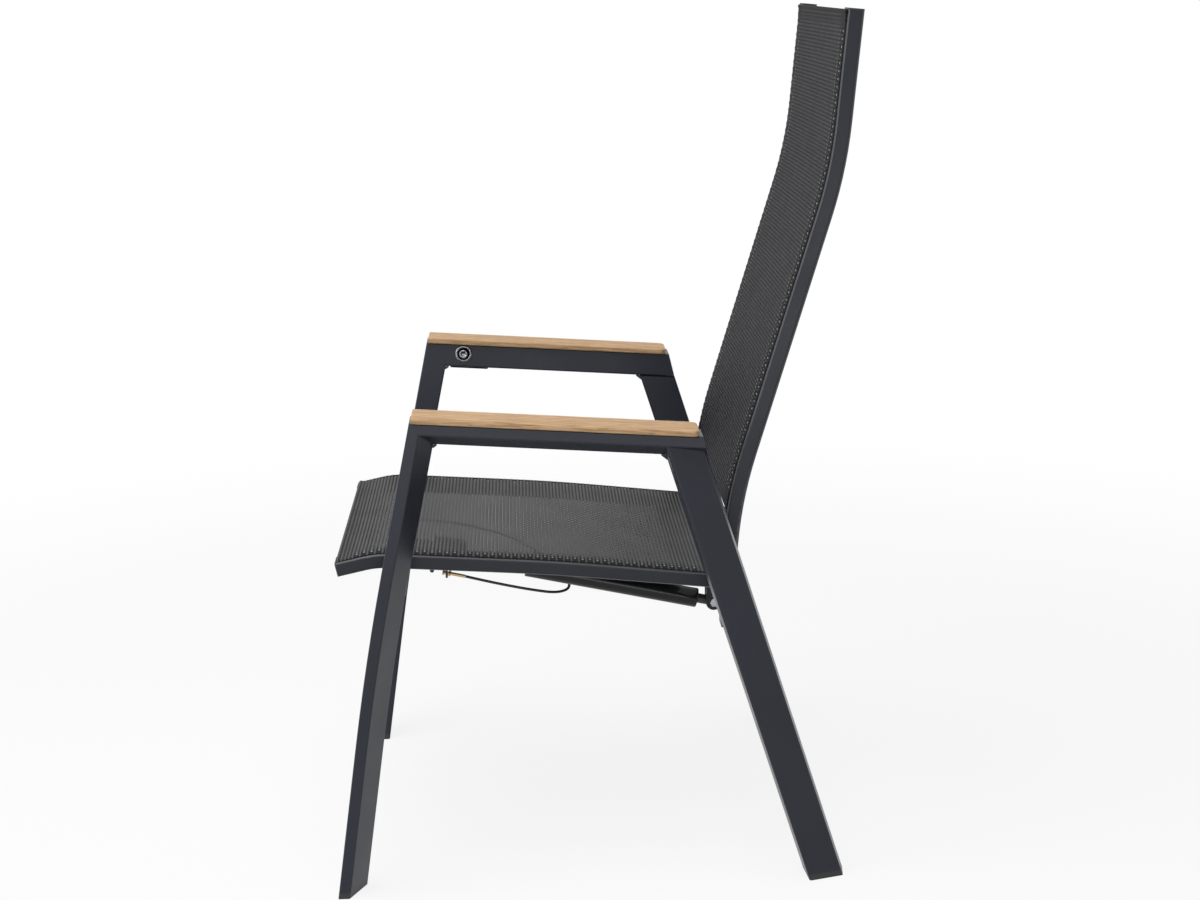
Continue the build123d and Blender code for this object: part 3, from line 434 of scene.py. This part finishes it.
slings = {
    "seat": {
        "corners": [(-0.3437, 0.436157), (-0.290841, 0.4472), (-0.0517, 0.428967), (0.159997, 0.404098)],
        "radii": [0.130, 3.0], "cutBelow": 0.0, "sag": 2.0 * mm, "hemFirst": True, "hemLength": 8.0 * mm,
        "hemOpen": 11.0 * mm, "stitchAt": [8.4 * mm],
        # hem bands: painted shade across the hem
        "hemBands": [(8.6 * mm, 11.6 * mm, 0.95), (13.6 * mm, 16.6 * mm, 0.95), (19.0 * mm, 21.0 * mm, 0.8)],
        "yarnDark": (0.052, 0.052, 0.054, 1.0), "yarnLight": (0.08, 0.08, 0.083, 1.0),
        # valley: the near-black colour of the painted shade between the ribs
        "valley": (0.008, 0.008, 0.009, 1.0), "slitWidth": 0.085, "valleyHalf": 0.11, "crestHalf": 0.31,
        "specular": 0.12, "clear": 1.0, "blackTo": 0.0, "straightOn": 1.1, "knotStagger": 2, "knotGap": 8.0 * mm,
    },
    "back": {
        "corners": [(0.166997, 0.332), (0.166997, 0.483), (0.312525, 0.939), (0.333792, 1.138)],
        "radii": [0.600, 0.590], "cutBelow": 0.492, "sag": 2.0 * mm, "hemFirst": False, "hemLength": 16.5 * mm,
        "hemOpen": 0.0,
        # hem bands: painted shade across the hem, in its grooves and along its seam
        "hemBands": [(0.0 * mm, 5.2 * mm, 0.75), (9.4 * mm, 12.0 * mm, 0.9), (15.0 * mm, 17.0 * mm, 0.95)],
        "stitchAt": [15.8 * mm],
        # the same cloth as the seat, with yarn and valley painted darker: painted shade for the weaker light on the
        # back
        "yarnDark": (0.024, 0.024, 0.028, 1.0), "yarnLight": (0.04, 0.04, 0.046, 1.0),
        "valley": (0.003, 0.003, 0.004, 1.0), "slitWidth": 0.04, "valleyHalf": 0.13, "crestHalf": 0.36,
        "specular": 0.04, "clear": 0.4, "blackTo": 34.0 * mm, "straightOn": 1.9, "knotStagger": 1,
        "knotGap": 19.0 * mm,
    },
}
clothSizes = {
    "rowPitch": 5.0 * mm, "pointsPerRow": 6, "flatColumns": 15, "curlColumns": 6,
    "ribHalf": 0.85 * mm, "slitHalf": 0.35 * mm, "curlAngle": math.radians(115),
    "edgeStops": (36 * mm, 26 * mm, 18 * mm, 13 * mm, 10 * mm, 4 * mm), "openFrom": 3,
    "rollLength": 6.0 * mm, "rollHeight": 1.6 * mm, "hemHeight": 0.5 * mm, "stitchPitch": 4.4 * mm,
    "pathPoints": 6001, "sagEase": 0.12, "swellPower": 0.75, "firstRib": 5, "ribStep": 4,
}
clothWeave = {
    "slitLength": 0.7, "knotPitch": 13.0 * mm, "fringeStart": 20 * mm, "fringeEnd": 31 * mm, "fringeValley": 0.2,
    "fringeCrest": 0.36,
}


def middleOf(node, axis):
    low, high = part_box(node)
    return (low[axis] + high[axis]) / 2


def openBeside(rows, columns, ribEnds):
    # cells of the sheet's grid that are there: beside each rod every second rib stops short, so a cell is left out
    # where its rib is odd and its column lies between the rib's end and the rod
    perRow = clothSizes["pointsPerRow"]
    cell = np.arange(rows * perRow)
    solid = np.ones((len(cell), columns - 1), bool)
    for shift, (firstColumn, lastColumn) in enumerate(ribEnds):
        rib = np.arange(clothSizes["firstRib"] + 2 * shift, rows - clothSizes["firstRib"], clothSizes["ribStep"])
        gone = np.any([np.isin((cell + step) // perRow, rib) for step in (-1, 0, 1)], axis=0)
        solid[np.ix_(gone, np.arange(firstColumn, lastColumn))] = False
        solid[np.ix_(gone, columns - 2 - np.arange(firstColumn, lastColumn))] = False
    return solid


def sheetFaces(solid):
    # both faces of every cell that is there, and a wall wherever a cell that is there meets one that isn't
    i, j = np.nonzero(solid)
    columns = solid.shape[1] + 1
    under = (solid.shape[0] + 1) * columns

    def quads(corners):
        return np.stack([(i + di) * columns + j + dj + side * under for di, dj, side in corners], 1)

    parts = [quads([(0, 0, 0), (0, 1, 0), (1, 1, 0), (1, 0, 0)]), quads([(1, 0, 1), (1, 1, 1), (0, 1, 1), (0, 0, 1)])]
    padded = np.pad(solid, 1)
    for near, walls in (((0, 1), [(0, 1, 0), (0, 0, 0), (0, 0, 1), (0, 1, 1)]),
                        ((2, 1), [(1, 0, 0), (1, 1, 0), (1, 1, 1), (1, 0, 1)]),
                        ((1, 0), [(0, 0, 0), (1, 0, 0), (1, 0, 1), (0, 0, 1)]),
                        ((1, 2), [(1, 1, 0), (0, 1, 0), (0, 1, 1), (1, 1, 1)])):
        bare = ~padded[near[0]:near[0] + solid.shape[0], near[1]:near[1] + solid.shape[1]]
        parts.append(quads(walls)[bare[solid]])
    return np.concatenate(parts)


def slingSurface(sling, grooveX, kederDepth, sinkFrom):
    # sling between its two rods: its middle surface follows the rails' path, sags as 1 - (x / half width) squared
    # and curls down on a circle beside each rod; its faces lie half a thickness off it, which swells as a power of
    # |sin| of the row count, and the upper one rises over the hem
    along, path, normal = sidePath(sling["corners"], sling["radii"], clothSizes["pathPoints"])
    start = np.interp(sling["cutBelow"], path[:, 1], along) if sling["cutBelow"] > path[0, 1] else 0.0
    length = along[-1] - start
    rows = round(length / clothSizes["rowPitch"])
    pitch = length / rows
    dense = along - start
    along = np.linspace(0, length, rows * clothSizes["pointsPerRow"] + 1)
    path = np.stack([np.interp(along, dense, path[:, i]) for i in range(2)], 1)
    normal = np.stack([np.interp(along, dense, normal[:, i]) for i in range(2)], 1)
    # across: flat to the groove's middle, then round the rod; u is the distance over the cloth
    middle = clothSizes["ribHalf"]
    radius = middle + kederDepth
    stops = grooveX - np.array(clothSizes["edgeStops"])
    flat = np.linspace(-stops[0], stops[0], clothSizes["flatColumns"])
    curl = np.linspace(0, clothSizes["curlAngle"], clothSizes["curlColumns"] + 1)
    half = np.concatenate([stops[1:], grooveX + radius * curl])
    u = np.concatenate([-half[::-1], flat, half])
    angle = np.clip((np.abs(u) - grooveX) / radius, 0, None) * np.sign(u)
    x = np.clip(u, -grooveX, grooveX) + radius * np.sin(angle)
    h = middle - radius * (1 - np.cos(angle))
    ends = np.clip(np.minimum(along, length - along) / (clothSizes["sagEase"] * length), 0, 1)
    sagShape = np.clip(1 - (x / sinkFrom) ** 2, 0, None) * sling["sag"]
    lift = h[None, :] - sagShape[None, :] * np.sin(ends * math.pi / 2)[:, None]
    wave = np.abs(np.sin(math.pi * along / pitch)) ** clothSizes["swellPower"]
    thick = clothSizes["slitHalf"] + (clothSizes["ribHalf"] - clothSizes["slitHalf"]) * wave
    fromHem = along if sling["hemFirst"] else length - along
    roll = np.clip(1 - (2 * fromHem / clothSizes["rollLength"] - 1) ** 2, 0, None) ** 0.5 * clothSizes["rollHeight"]
    hem = np.clip((sling["hemLength"] - fromHem) / mm, 0, 1) * clothSizes["hemHeight"]
    sheet = []
    for side, extra in ((1, np.maximum(roll, hem)), (-1, 0.0)):
        off = (thick + extra)[:, None]
        px = x[None, :] + side * off * np.sin(angle)[None, :]
        ph = lift + side * off * np.cos(angle)[None, :]
        yz = path[:, None, :] + ph[:, :, None] * normal[:, None, :]
        sheet.append(np.concatenate([px[:, :, None], yz], axis=2))
    columns = len(u)
    grooveColumn = clothSizes["curlColumns"]
    ribEnds = [(clothSizes["openFrom"], grooveColumn + 2), (clothSizes["openFrom"], grooveColumn + 3)]
    faces = sheetFaces(openBeside(rows, columns, ribEnds))
    points = np.concatenate([side.reshape(-1, 3) for side in sheet])
    oneSide = np.stack([np.broadcast_to(u, (len(along), columns)),
                        np.broadcast_to(along[:, None], (len(along), columns))], axis=2).reshape(-1, 2)
    used, faces = np.unique(faces, return_inverse=True)
    return {"points": points[used], "faces": faces.reshape(-1, 4), "uv": np.concatenate([oneSide, oneSide])[used],
            "pitch": pitch, "rows": rows, "length": length, "width": float(u[-1] - u[0]), "path": path,
            "normal": normal, "along": along}


def loftRings(rings):
    # skin over rings with the same even number of points, closed at both ends by quads that join each point to the
    # one across the ring
    rows, count = rings.shape[:2]
    j = np.arange(count // 2 - 1)
    cap = np.stack([j, count - 1 - j, count - 2 - j, j + 1], 1)
    faces = np.concatenate([gridFaces(rows, count, wrapColumns=True), cap, cap[:, ::-1] + (rows - 1) * count])
    return rings.reshape(-1, 3), faces


def onPath(made, s):
    place = np.stack([np.interp(s, made["along"], made["path"][:, i]) for i in range(2)], -1)
    normal = np.stack([np.interp(s, made["along"], made["normal"][:, i]) for i in range(2)], -1)
    return place, normal


def beadsAt(made, x, s, height, sizes):
    # small rounded beads on the sling at the places x across and s along, lying across it
    shape, faces = cubeBead(2)
    place, normal = onPath(made, s)
    zero = np.zeros(len(s))
    centres = np.stack([x, place[:, 0] + height * normal[:, 0], place[:, 1] + height * normal[:, 1]], 1)
    sideways = np.tile([1.0, 0, 0], (len(s), 1)) * sizes["across"]
    tangent = np.stack([zero, normal[:, 1], -normal[:, 0]], 1) * sizes["along"]
    up = np.stack([zero, normal[:, 0], normal[:, 1]], 1) * sizes["high"]
    return scatter(shape, faces, centres, np.stack([sideways, tangent, up], 1))


def joinMeshes(meshes):
    starts = np.cumsum([0] + [len(points) for points, faces in meshes])
    return (np.concatenate([points for points, faces in meshes]),
            np.concatenate([faces + start for (points, faces), start in zip(meshes, starts)]))


def edgeKnots(made, sling, grooveX):
    # two knots near the ends of the ribs, standing further in on every second one that has them
    meshes = []
    for shift, inset in enumerate(knots["inset"]):
        first = clothSizes["firstRib"]
        rib = np.arange(first + sling["knotStagger"] * shift, made["rows"] - first, 2 * sling["knotStagger"])
        s = (rib + 0.5) * made["pitch"]
        for side in (1, -1):
            for column in range(2):
                x = np.full(len(s), side * (grooveX - inset - column * sling["knotGap"]))
                meshes.append(beadsAt(made, x, s, knots["height"], knots))
    return joinMeshes(meshes)


def sleeveBand(made, grooveX):
    # black sleeve of each rod, made near black so that it also stands as painted shade in the groove: a thin band
    # under the cloth, from inside the groove to a little inboard of it; its section is a flat oval, half width times
    # cosine by half height times sine, kept inside the cloth's two ends
    t = np.linspace(0, 2 * math.pi, sleeve["around"], endpoint=False)
    x = sleeve["middle"] + sleeve["halfWidth"] * np.sign(np.cos(t)) * np.abs(np.cos(t)) ** 0.5
    h = sleeve["height"] + sleeve["halfHeight"] * np.sin(t)
    s = np.linspace(sleeve["endGap"], made["length"] - sleeve["endGap"], sleeve["rows"])
    place, normal = onPath(made, s)
    meshes = []
    for side in (1, -1):
        yz = place[:, None, :] + h[None, :, None] * normal[:, None, :]
        across = np.broadcast_to(side * (grooveX - x)[None, :, None], (len(s), len(t), 1))
        meshes.append(loftRings(np.concatenate([across, yz], 2)))
    return joinMeshes(meshes)


def hemStitches(made, sling, railInner):
    meshes = []
    count = int(2 * railInner / clothSizes["stitchPitch"])
    x = (np.arange(count) - (count - 1) / 2) * clothSizes["stitchPitch"]
    for offset in sling["stitchAt"]:
        s = np.full(count, offset if sling["hemFirst"] else made["length"] - offset)
        meshes.append(beadsAt(made, x, s, stitches["height"], stitches))
    return joinMeshes(meshes)


knots = {"across": 2.4 * mm, "along": 1.9 * mm, "high": 0.95 * mm, "height": 0.9 * mm,
         "inset": (10.2 * mm, 13.2 * mm)}
sleeve = {"middle": 6.5 * mm, "halfWidth": 9.5 * mm, "height": 0.65 * mm, "halfHeight": 0.5 * mm, "endGap": 2.0 * mm,
          "around": 16, "rows": 61}
stitches = {"across": 1.7 * mm, "along": 0.5 * mm, "high": 0.5 * mm, "height": 1.6 * mm}
kederDepth = 1.6 * mm
# painted highlight: the knots are coloured far lighter than the yarn, for light catching the yarn where it curves
# over the rod
knotHighlightFinish = coatedFinish("knotPaintedHighlight", (0.2, 0.2, 0.205, 1.0), (0.28, 0.28, 0.29, 1.0), 0.45, 900.0, 0.05 * mm)
threadFinish = coatedFinish("sewingThread", (0.012, 0.012, 0.013, 1.0), (0.02, 0.02, 0.022, 1.0), 0.6, 900.0,
                            0.05 * mm)
# the doubled cloth round each rod, made near black as painted shade for the groove under it
sleeveAndShadeFinish = coatedFinish("rodSleeveAndGrooveShade", (0.004, 0.004, 0.004, 1.0), (0.006, 0.006, 0.006, 1.0), 0.75, 900.0,
                            0.05 * mm, Specular_IOR_Level=0.15)
for part, sling in slings.items():
    grooveX = middleOf("left_" + part + "_keder", 0)
    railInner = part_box("left_" + part + "_rail")[0][0]
    made = slingSurface(sling, grooveX, kederDepth, railInner)
    cloth = dict(clothWeave, rowPitch=made["pitch"], grooveX=grooveX,
                 hemAt=0.0 if sling["hemFirst"] else made["length"], **sling)
    fabric = slingFinish(part + "Weave", cloth)
    piece = makePiece(part + "Sling", made["points"], made["faces"], part, fabric, made["uv"])
    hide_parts(part + "_sling")
    points, faces = edgeKnots(made, sling, grooveX)
    knotPiece = makePiece(part + "EdgeKnots", points, faces, part, knotHighlightFinish)
    points, faces = sleeveBand(made, grooveX)
    bandPiece = makePiece(part + "EdgeSleeves", points, faces, part, sleeveAndShadeFinish)
    points, faces = hemStitches(made, sling, railInner)
    threadPiece = makePiece(part + "HemStitches", points, faces, part, threadFinish)
    print(part, "sling:", made["rows"], "rows,", round(made["length"], 4), "long,", round(made["width"], 4), "wide,",
          len(made["faces"]), "faces")


# Release button in the right arm rail: a rounded ring round its barrel, and a dished cap. Each profile lists a radius
# and a place along X, in millimetres.

button = {
    "y": -179.0 * mm, "z": 623.2 * mm, "around": 48,
    "ring": [(7.6, -288.0), (10.4, -288.0), (10.4, -270.0), (12.6, -270.0), (13.0, -269.6), (13.0, -268.9),
             (12.6, -268.1), (11.7, -267.6), (10.6, -267.5), (9.6, -267.8), (8.9, -268.5), (8.3, -269.6),
             (7.6, -270.4)],
    "cap": [(6.6, -276.4), (6.8, -275.6), (6.8, -265.2), (6.6, -264.3), (6.2, -263.6), (5.4, -263.2), (4.6, -263.3),
            (3.7, -263.9), (2.5, -264.5), (1.2, -264.8)],
}


def turnedRings(profile, count):
    # rings about an axis along X: each profile point (radius, place) goes round by cosine and sine
    radius, x = np.array(profile).T * mm
    t = np.linspace(0, 2 * math.pi, count, endpoint=False)
    y = button["y"] + radius[:, None] * np.cos(t)
    z = button["z"] + radius[:, None] * np.sin(t)
    return np.stack([np.broadcast_to(x[:, None], y.shape), y, z], 2)


rings = turnedRings(button["ring"], button["around"])
faces = gridFaces(len(rings) + 1, button["around"], wrapColumns=True) % (rings.shape[0] * rings.shape[1])
ringPiece = makePiece("buttonRing", rings, faces, "root", finishes["button_chrome"])
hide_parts("button_housing")
points, faces = loftRings(turnedRings(button["cap"], button["around"]))
capPiece = makePiece("buttonCap", points, faces, "push_button", finishes["button_chrome"])
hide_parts("push_button")
print("button made")


# Arm rail ends: a cap whose rear face leans with the rear leg's back edge

armEnd = {
    "y": 136.2 * mm, "z": 613.5 * mm, "inner": 270.0 * mm, "outer": 317.0 * mm, "outerDepth": 15.0 * mm,
    "innerDepth": 36.5 * mm, "plate": 1.5 * mm, "lean": 0.31, "edge": 1.5 * mm, "perCorner": 5, "endShrink": 0.125,
    "plateShare": 0.6,
}


def roundedOutline(corners, radius, perCorner):
    # convex outline with each corner turned on an arc: the arc's centre lies on the corner's bisector
    corners = np.array(corners)
    rings = []
    for k, corner in enumerate(corners):
        before = corners[k - 1] - corner
        after = corners[(k + 1) % len(corners)] - corner
        before = before / np.linalg.norm(before)
        after = after / np.linalg.norm(after)
        half = math.acos(float(np.clip(before @ after, -1, 1))) / 2
        middle = (before + after) / np.linalg.norm(before + after)
        centre = corner + middle * radius / math.sin(half)
        turn = np.linspace(-1, 1, perCorner) * (math.pi / 2 - half)
        across = (after - before) / np.linalg.norm(after - before)
        rings.append(centre - radius * np.cos(turn)[:, None] * middle + radius * np.sin(turn)[:, None] * across)
    return np.concatenate(rings)


def armEndRings(side):
    outline = [(armEnd["inner"], 0.0), (armEnd["outer"], 0.0), (armEnd["outer"], armEnd["outerDepth"]),
               (armEnd["inner"], armEnd["innerDepth"])]
    slopeY, slopeZ = math.sin(armSlope), math.cos(armSlope)
    rings = []
    for inset, behind in ((0.0, 0.0), (0.0, 1.0), (0.2, 1.0), (1.0, 1.0)):
        ring = roundedOutline(outline, armEnd["edge"], armEnd["perCorner"])
        middle = ring.mean(0)
        shrink = 1 - inset * armEnd["endShrink"]
        x, depth = (middle + (ring - middle) * shrink).T
        thick = armEnd["plate"] * (armEnd["plateShare"] + (1 - armEnd["plateShare"]) * inset)
        reach = behind * (thick + armEnd["lean"] * depth)
        y = armEnd["y"] - depth * slopeY + reach * slopeZ
        z = armEnd["z"] - depth * slopeZ - reach * slopeY
        rings.append(np.stack([side * x, y, z], 1))
    return np.stack(rings)


for side, word in ((1, "left"), (-1, "right")):
    points, faces = loftRings(armEndRings(side))
    piece = makePiece(word + "ArmEnd", points, faces, "root", finishes["frame_coat"], smooth=False)
    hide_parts(word + "_arm_end_cap")
print("arm ends made")


# Control cable

cable = {
    "route": [
        (-261, -272, 371), (-241, -272, 371), (-215, -236, 374.5), (-182, -190, 377), (-146, -146, 374.5),
        (-111, -102, 366.5), (-74, -64, 351.5), (-43, -38, 334.5), (-24, -27, 317.5), (-11, -48, 313.5),
        (-4, -86, 322), (0, -122, 331.3), (0, -154, 339.3), (0, -180.2, 346.45),
    ],
    "radius": 2.0 * mm,
    "length": 0.517,
}


def cordCurve(name, route, radius, material, body):
    # cord on a smooth curve with the route's points as its control points
    curve = bpy.data.curves.new(name, "CURVE")
    curve.dimensions = "3D"
    curve.bevel_depth = radius
    curve.bevel_resolution = 4
    curve.use_fill_caps = True
    spline = curve.splines.new("NURBS")
    spline.points.add(len(route) - 1)
    for point, place in zip(spline.points, route):
        point.co = (place[0] * mm, place[1] * mm, place[2] * mm, 1.0)
    spline.order_u = 3
    spline.use_endpoint_u = True
    spline.resolution_u = 16
    curve.materials.append(material)
    piece = bpy.data.objects.new(name, curve)
    bpy.context.scene.collection.objects.link(piece)
    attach(piece, body)
    return piece


releaseCable = cordCurve("releaseCable", cable["route"], cable["radius"], finishes["cable_sheath"], "root")
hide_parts("control_cable")
print("cable made")


# Studio

studio = {
    "floorHalf": 9.0, "floorColor": (0.86, 0.86, 0.86, 1.0), "floorGlow": 0.86, "whiteFrom": 1.0, "whiteAt": 2.6,
    "worldLight": 0.17, "worldColor": (0.95, 0.97, 1.0, 1.0), "white": (1.0, 1.0, 1.0),
}
# name, place, target, size, power and colour
lamps = [
    ("overhead", (0.6, -0.6, 3.2), (0.0, 0.0, 0.5), (2.2, 2.2), 80.0, (1.0, 0.99, 0.97)),
    ("sideFill", (2.5, -2.8, 1.7), (0.0, 0.0, 0.6), (1.6, 1.6), 28.0, studio["white"]),
    ("frontFill", (1.0, -3.0, 1.8), (0.0, 0.0, 0.6), (2.0, 2.0), 8.0, studio["white"]),
    ("backFill", (-2.2, 2.4, 2.2), (0.0, 0.0, 0.6), (2.0, 2.0), 6.0, studio["white"]),
    ("lowStrip", (3.4, 0.1, 0.3), (0.0, 0.1, 0.33), (3.0, 0.14), 15.0, studio["white"]),
]


def buildStudio():
    half = studio["floorHalf"]
    mesh = bpy.data.meshes.new("floor")
    mesh.from_pydata([(-half, -half, 0), (half, -half, 0), (half, half, 0), (-half, half, 0)], [], [(0, 1, 2, 3)])
    floor = bpy.data.objects.new("floor", mesh)
    bpy.context.scene.collection.objects.link(floor)
    material = bpy.data.materials.new("paleFloor")
    material.use_nodes = True
    tree = material.node_tree
    tree.nodes.clear()
    output = tree.nodes.new("ShaderNodeOutputMaterial")
    matte = addNode(tree, "ShaderNodeBsdfDiffuse", {"Color": studio["floorColor"]})
    glow = addNode(tree, "ShaderNodeEmission", {"Color": (1.0, 1.0, 1.0, 1.0), "Strength": 1.0})
    rays = tree.nodes.new("ShaderNodeLightPath")
    seen = maths(tree, "ADD", rays.outputs["Is Camera Ray"], rays.outputs["Is Glossy Ray"])
    seen = maths(tree, "ADD", seen, rays.outputs["Is Transmission Ray"], clamp=True)
    # the floor turns plain white away from the chair, so that it meets the backdrop without a line
    place = addNode(tree, "ShaderNodeTexCoord").outputs["Object"]
    away = addNode(tree, "ShaderNodeVectorMath", {0: place}, operation="LENGTH").outputs["Value"]
    rest = maths(tree, "MULTIPLY", smoothStep(tree, away, studio["whiteFrom"], studio["whiteAt"]),
                 1 - studio["floorGlow"])
    share = maths(tree, "MULTIPLY", seen, maths(tree, "ADD", rest, studio["floorGlow"]))
    mixed = addNode(tree, "ShaderNodeMixShader", {0: share, 1: matte.outputs[0], 2: glow.outputs[0]})
    tree.links.new(mixed.outputs[0], output.inputs["Surface"])
    mesh.materials.append(material)

    world = bpy.data.worlds.new("paleStudio")
    bpy.context.scene.world = world
    world.use_nodes = True
    tree = world.node_tree
    tree.nodes.clear()
    output = tree.nodes.new("ShaderNodeOutputWorld")
    light = addNode(tree, "ShaderNodeBackground", {"Color": studio["worldColor"],
                                                   "Strength": studio["worldLight"]})
    white = addNode(tree, "ShaderNodeBackground", {"Color": (1.0, 1.0, 1.0, 1.0), "Strength": 1.0})
    rays = tree.nodes.new("ShaderNodeLightPath")
    seen = maths(tree, "ADD", rays.outputs["Is Camera Ray"], rays.outputs["Is Glossy Ray"])
    seen = maths(tree, "ADD", seen, rays.outputs["Is Transmission Ray"], clamp=True)
    mixed = addNode(tree, "ShaderNodeMixShader", {0: seen, 1: light.outputs[0], 2: white.outputs[0]})
    tree.links.new(mixed.outputs[0], output.inputs["Surface"])


def areaLight(name, place, target, size, power, color):
    data = bpy.data.lights.new(name, "AREA")
    data.shape = "RECTANGLE"
    data.size, data.size_y = size
    data.energy = power
    data.color = color
    lamp = bpy.data.objects.new(name, data)
    bpy.context.scene.collection.objects.link(lamp)
    back = (Vector(place) - Vector(target)).normalized()
    lamp.rotation_mode = "QUATERNION"
    lamp.rotation_quaternion = back.to_track_quat("Z", "Y")
    lamp.location = place


buildStudio()
for lamp in lamps:
    areaLight(*lamp)

camera = {"place": (2.8673, -0.0915, 1.1896), "yaw": -0.0380, "pitch": 0.2269, "roll": -0.0216,
          "focalPixels": 2067.93, "photoWidth": 1200, "sensorWidth": 36.0}


def buildCamera():
    # looks along -X, turned by yaw about Z, tipped down by pitch and rolled about its own axis
    data = bpy.data.cameras.new("photoCamera")
    data.sensor_fit = "HORIZONTAL"
    data.sensor_width = camera["sensorWidth"]
    data.lens = camera["focalPixels"] / camera["photoWidth"] * camera["sensorWidth"]
    yaw, pitch, roll = camera["yaw"], camera["pitch"], camera["roll"]
    forward = np.array([-math.cos(pitch) * math.cos(yaw), -math.cos(pitch) * math.sin(yaw), -math.sin(pitch)])
    right = np.array([-math.sin(yaw), math.cos(yaw), 0.0])
    up = np.cross(right, forward)
    x = math.cos(roll) * right + math.sin(roll) * up
    y = -math.sin(roll) * right + math.cos(roll) * up
    matrix = Matrix.Identity(4)
    for row in range(3):
        matrix[row][0] = x[row]
        matrix[row][1] = y[row]
        matrix[row][2] = -forward[row]
        matrix[row][3] = camera["place"][row]
    eye = bpy.data.objects.new("photoCamera", data)
    bpy.context.scene.collection.objects.link(eye)
    eye.matrix_world = matrix
    bpy.context.scene.camera = eye


buildCamera()
bpy.context.scene.view_settings.view_transform = "Standard"
print("studio and camera made")
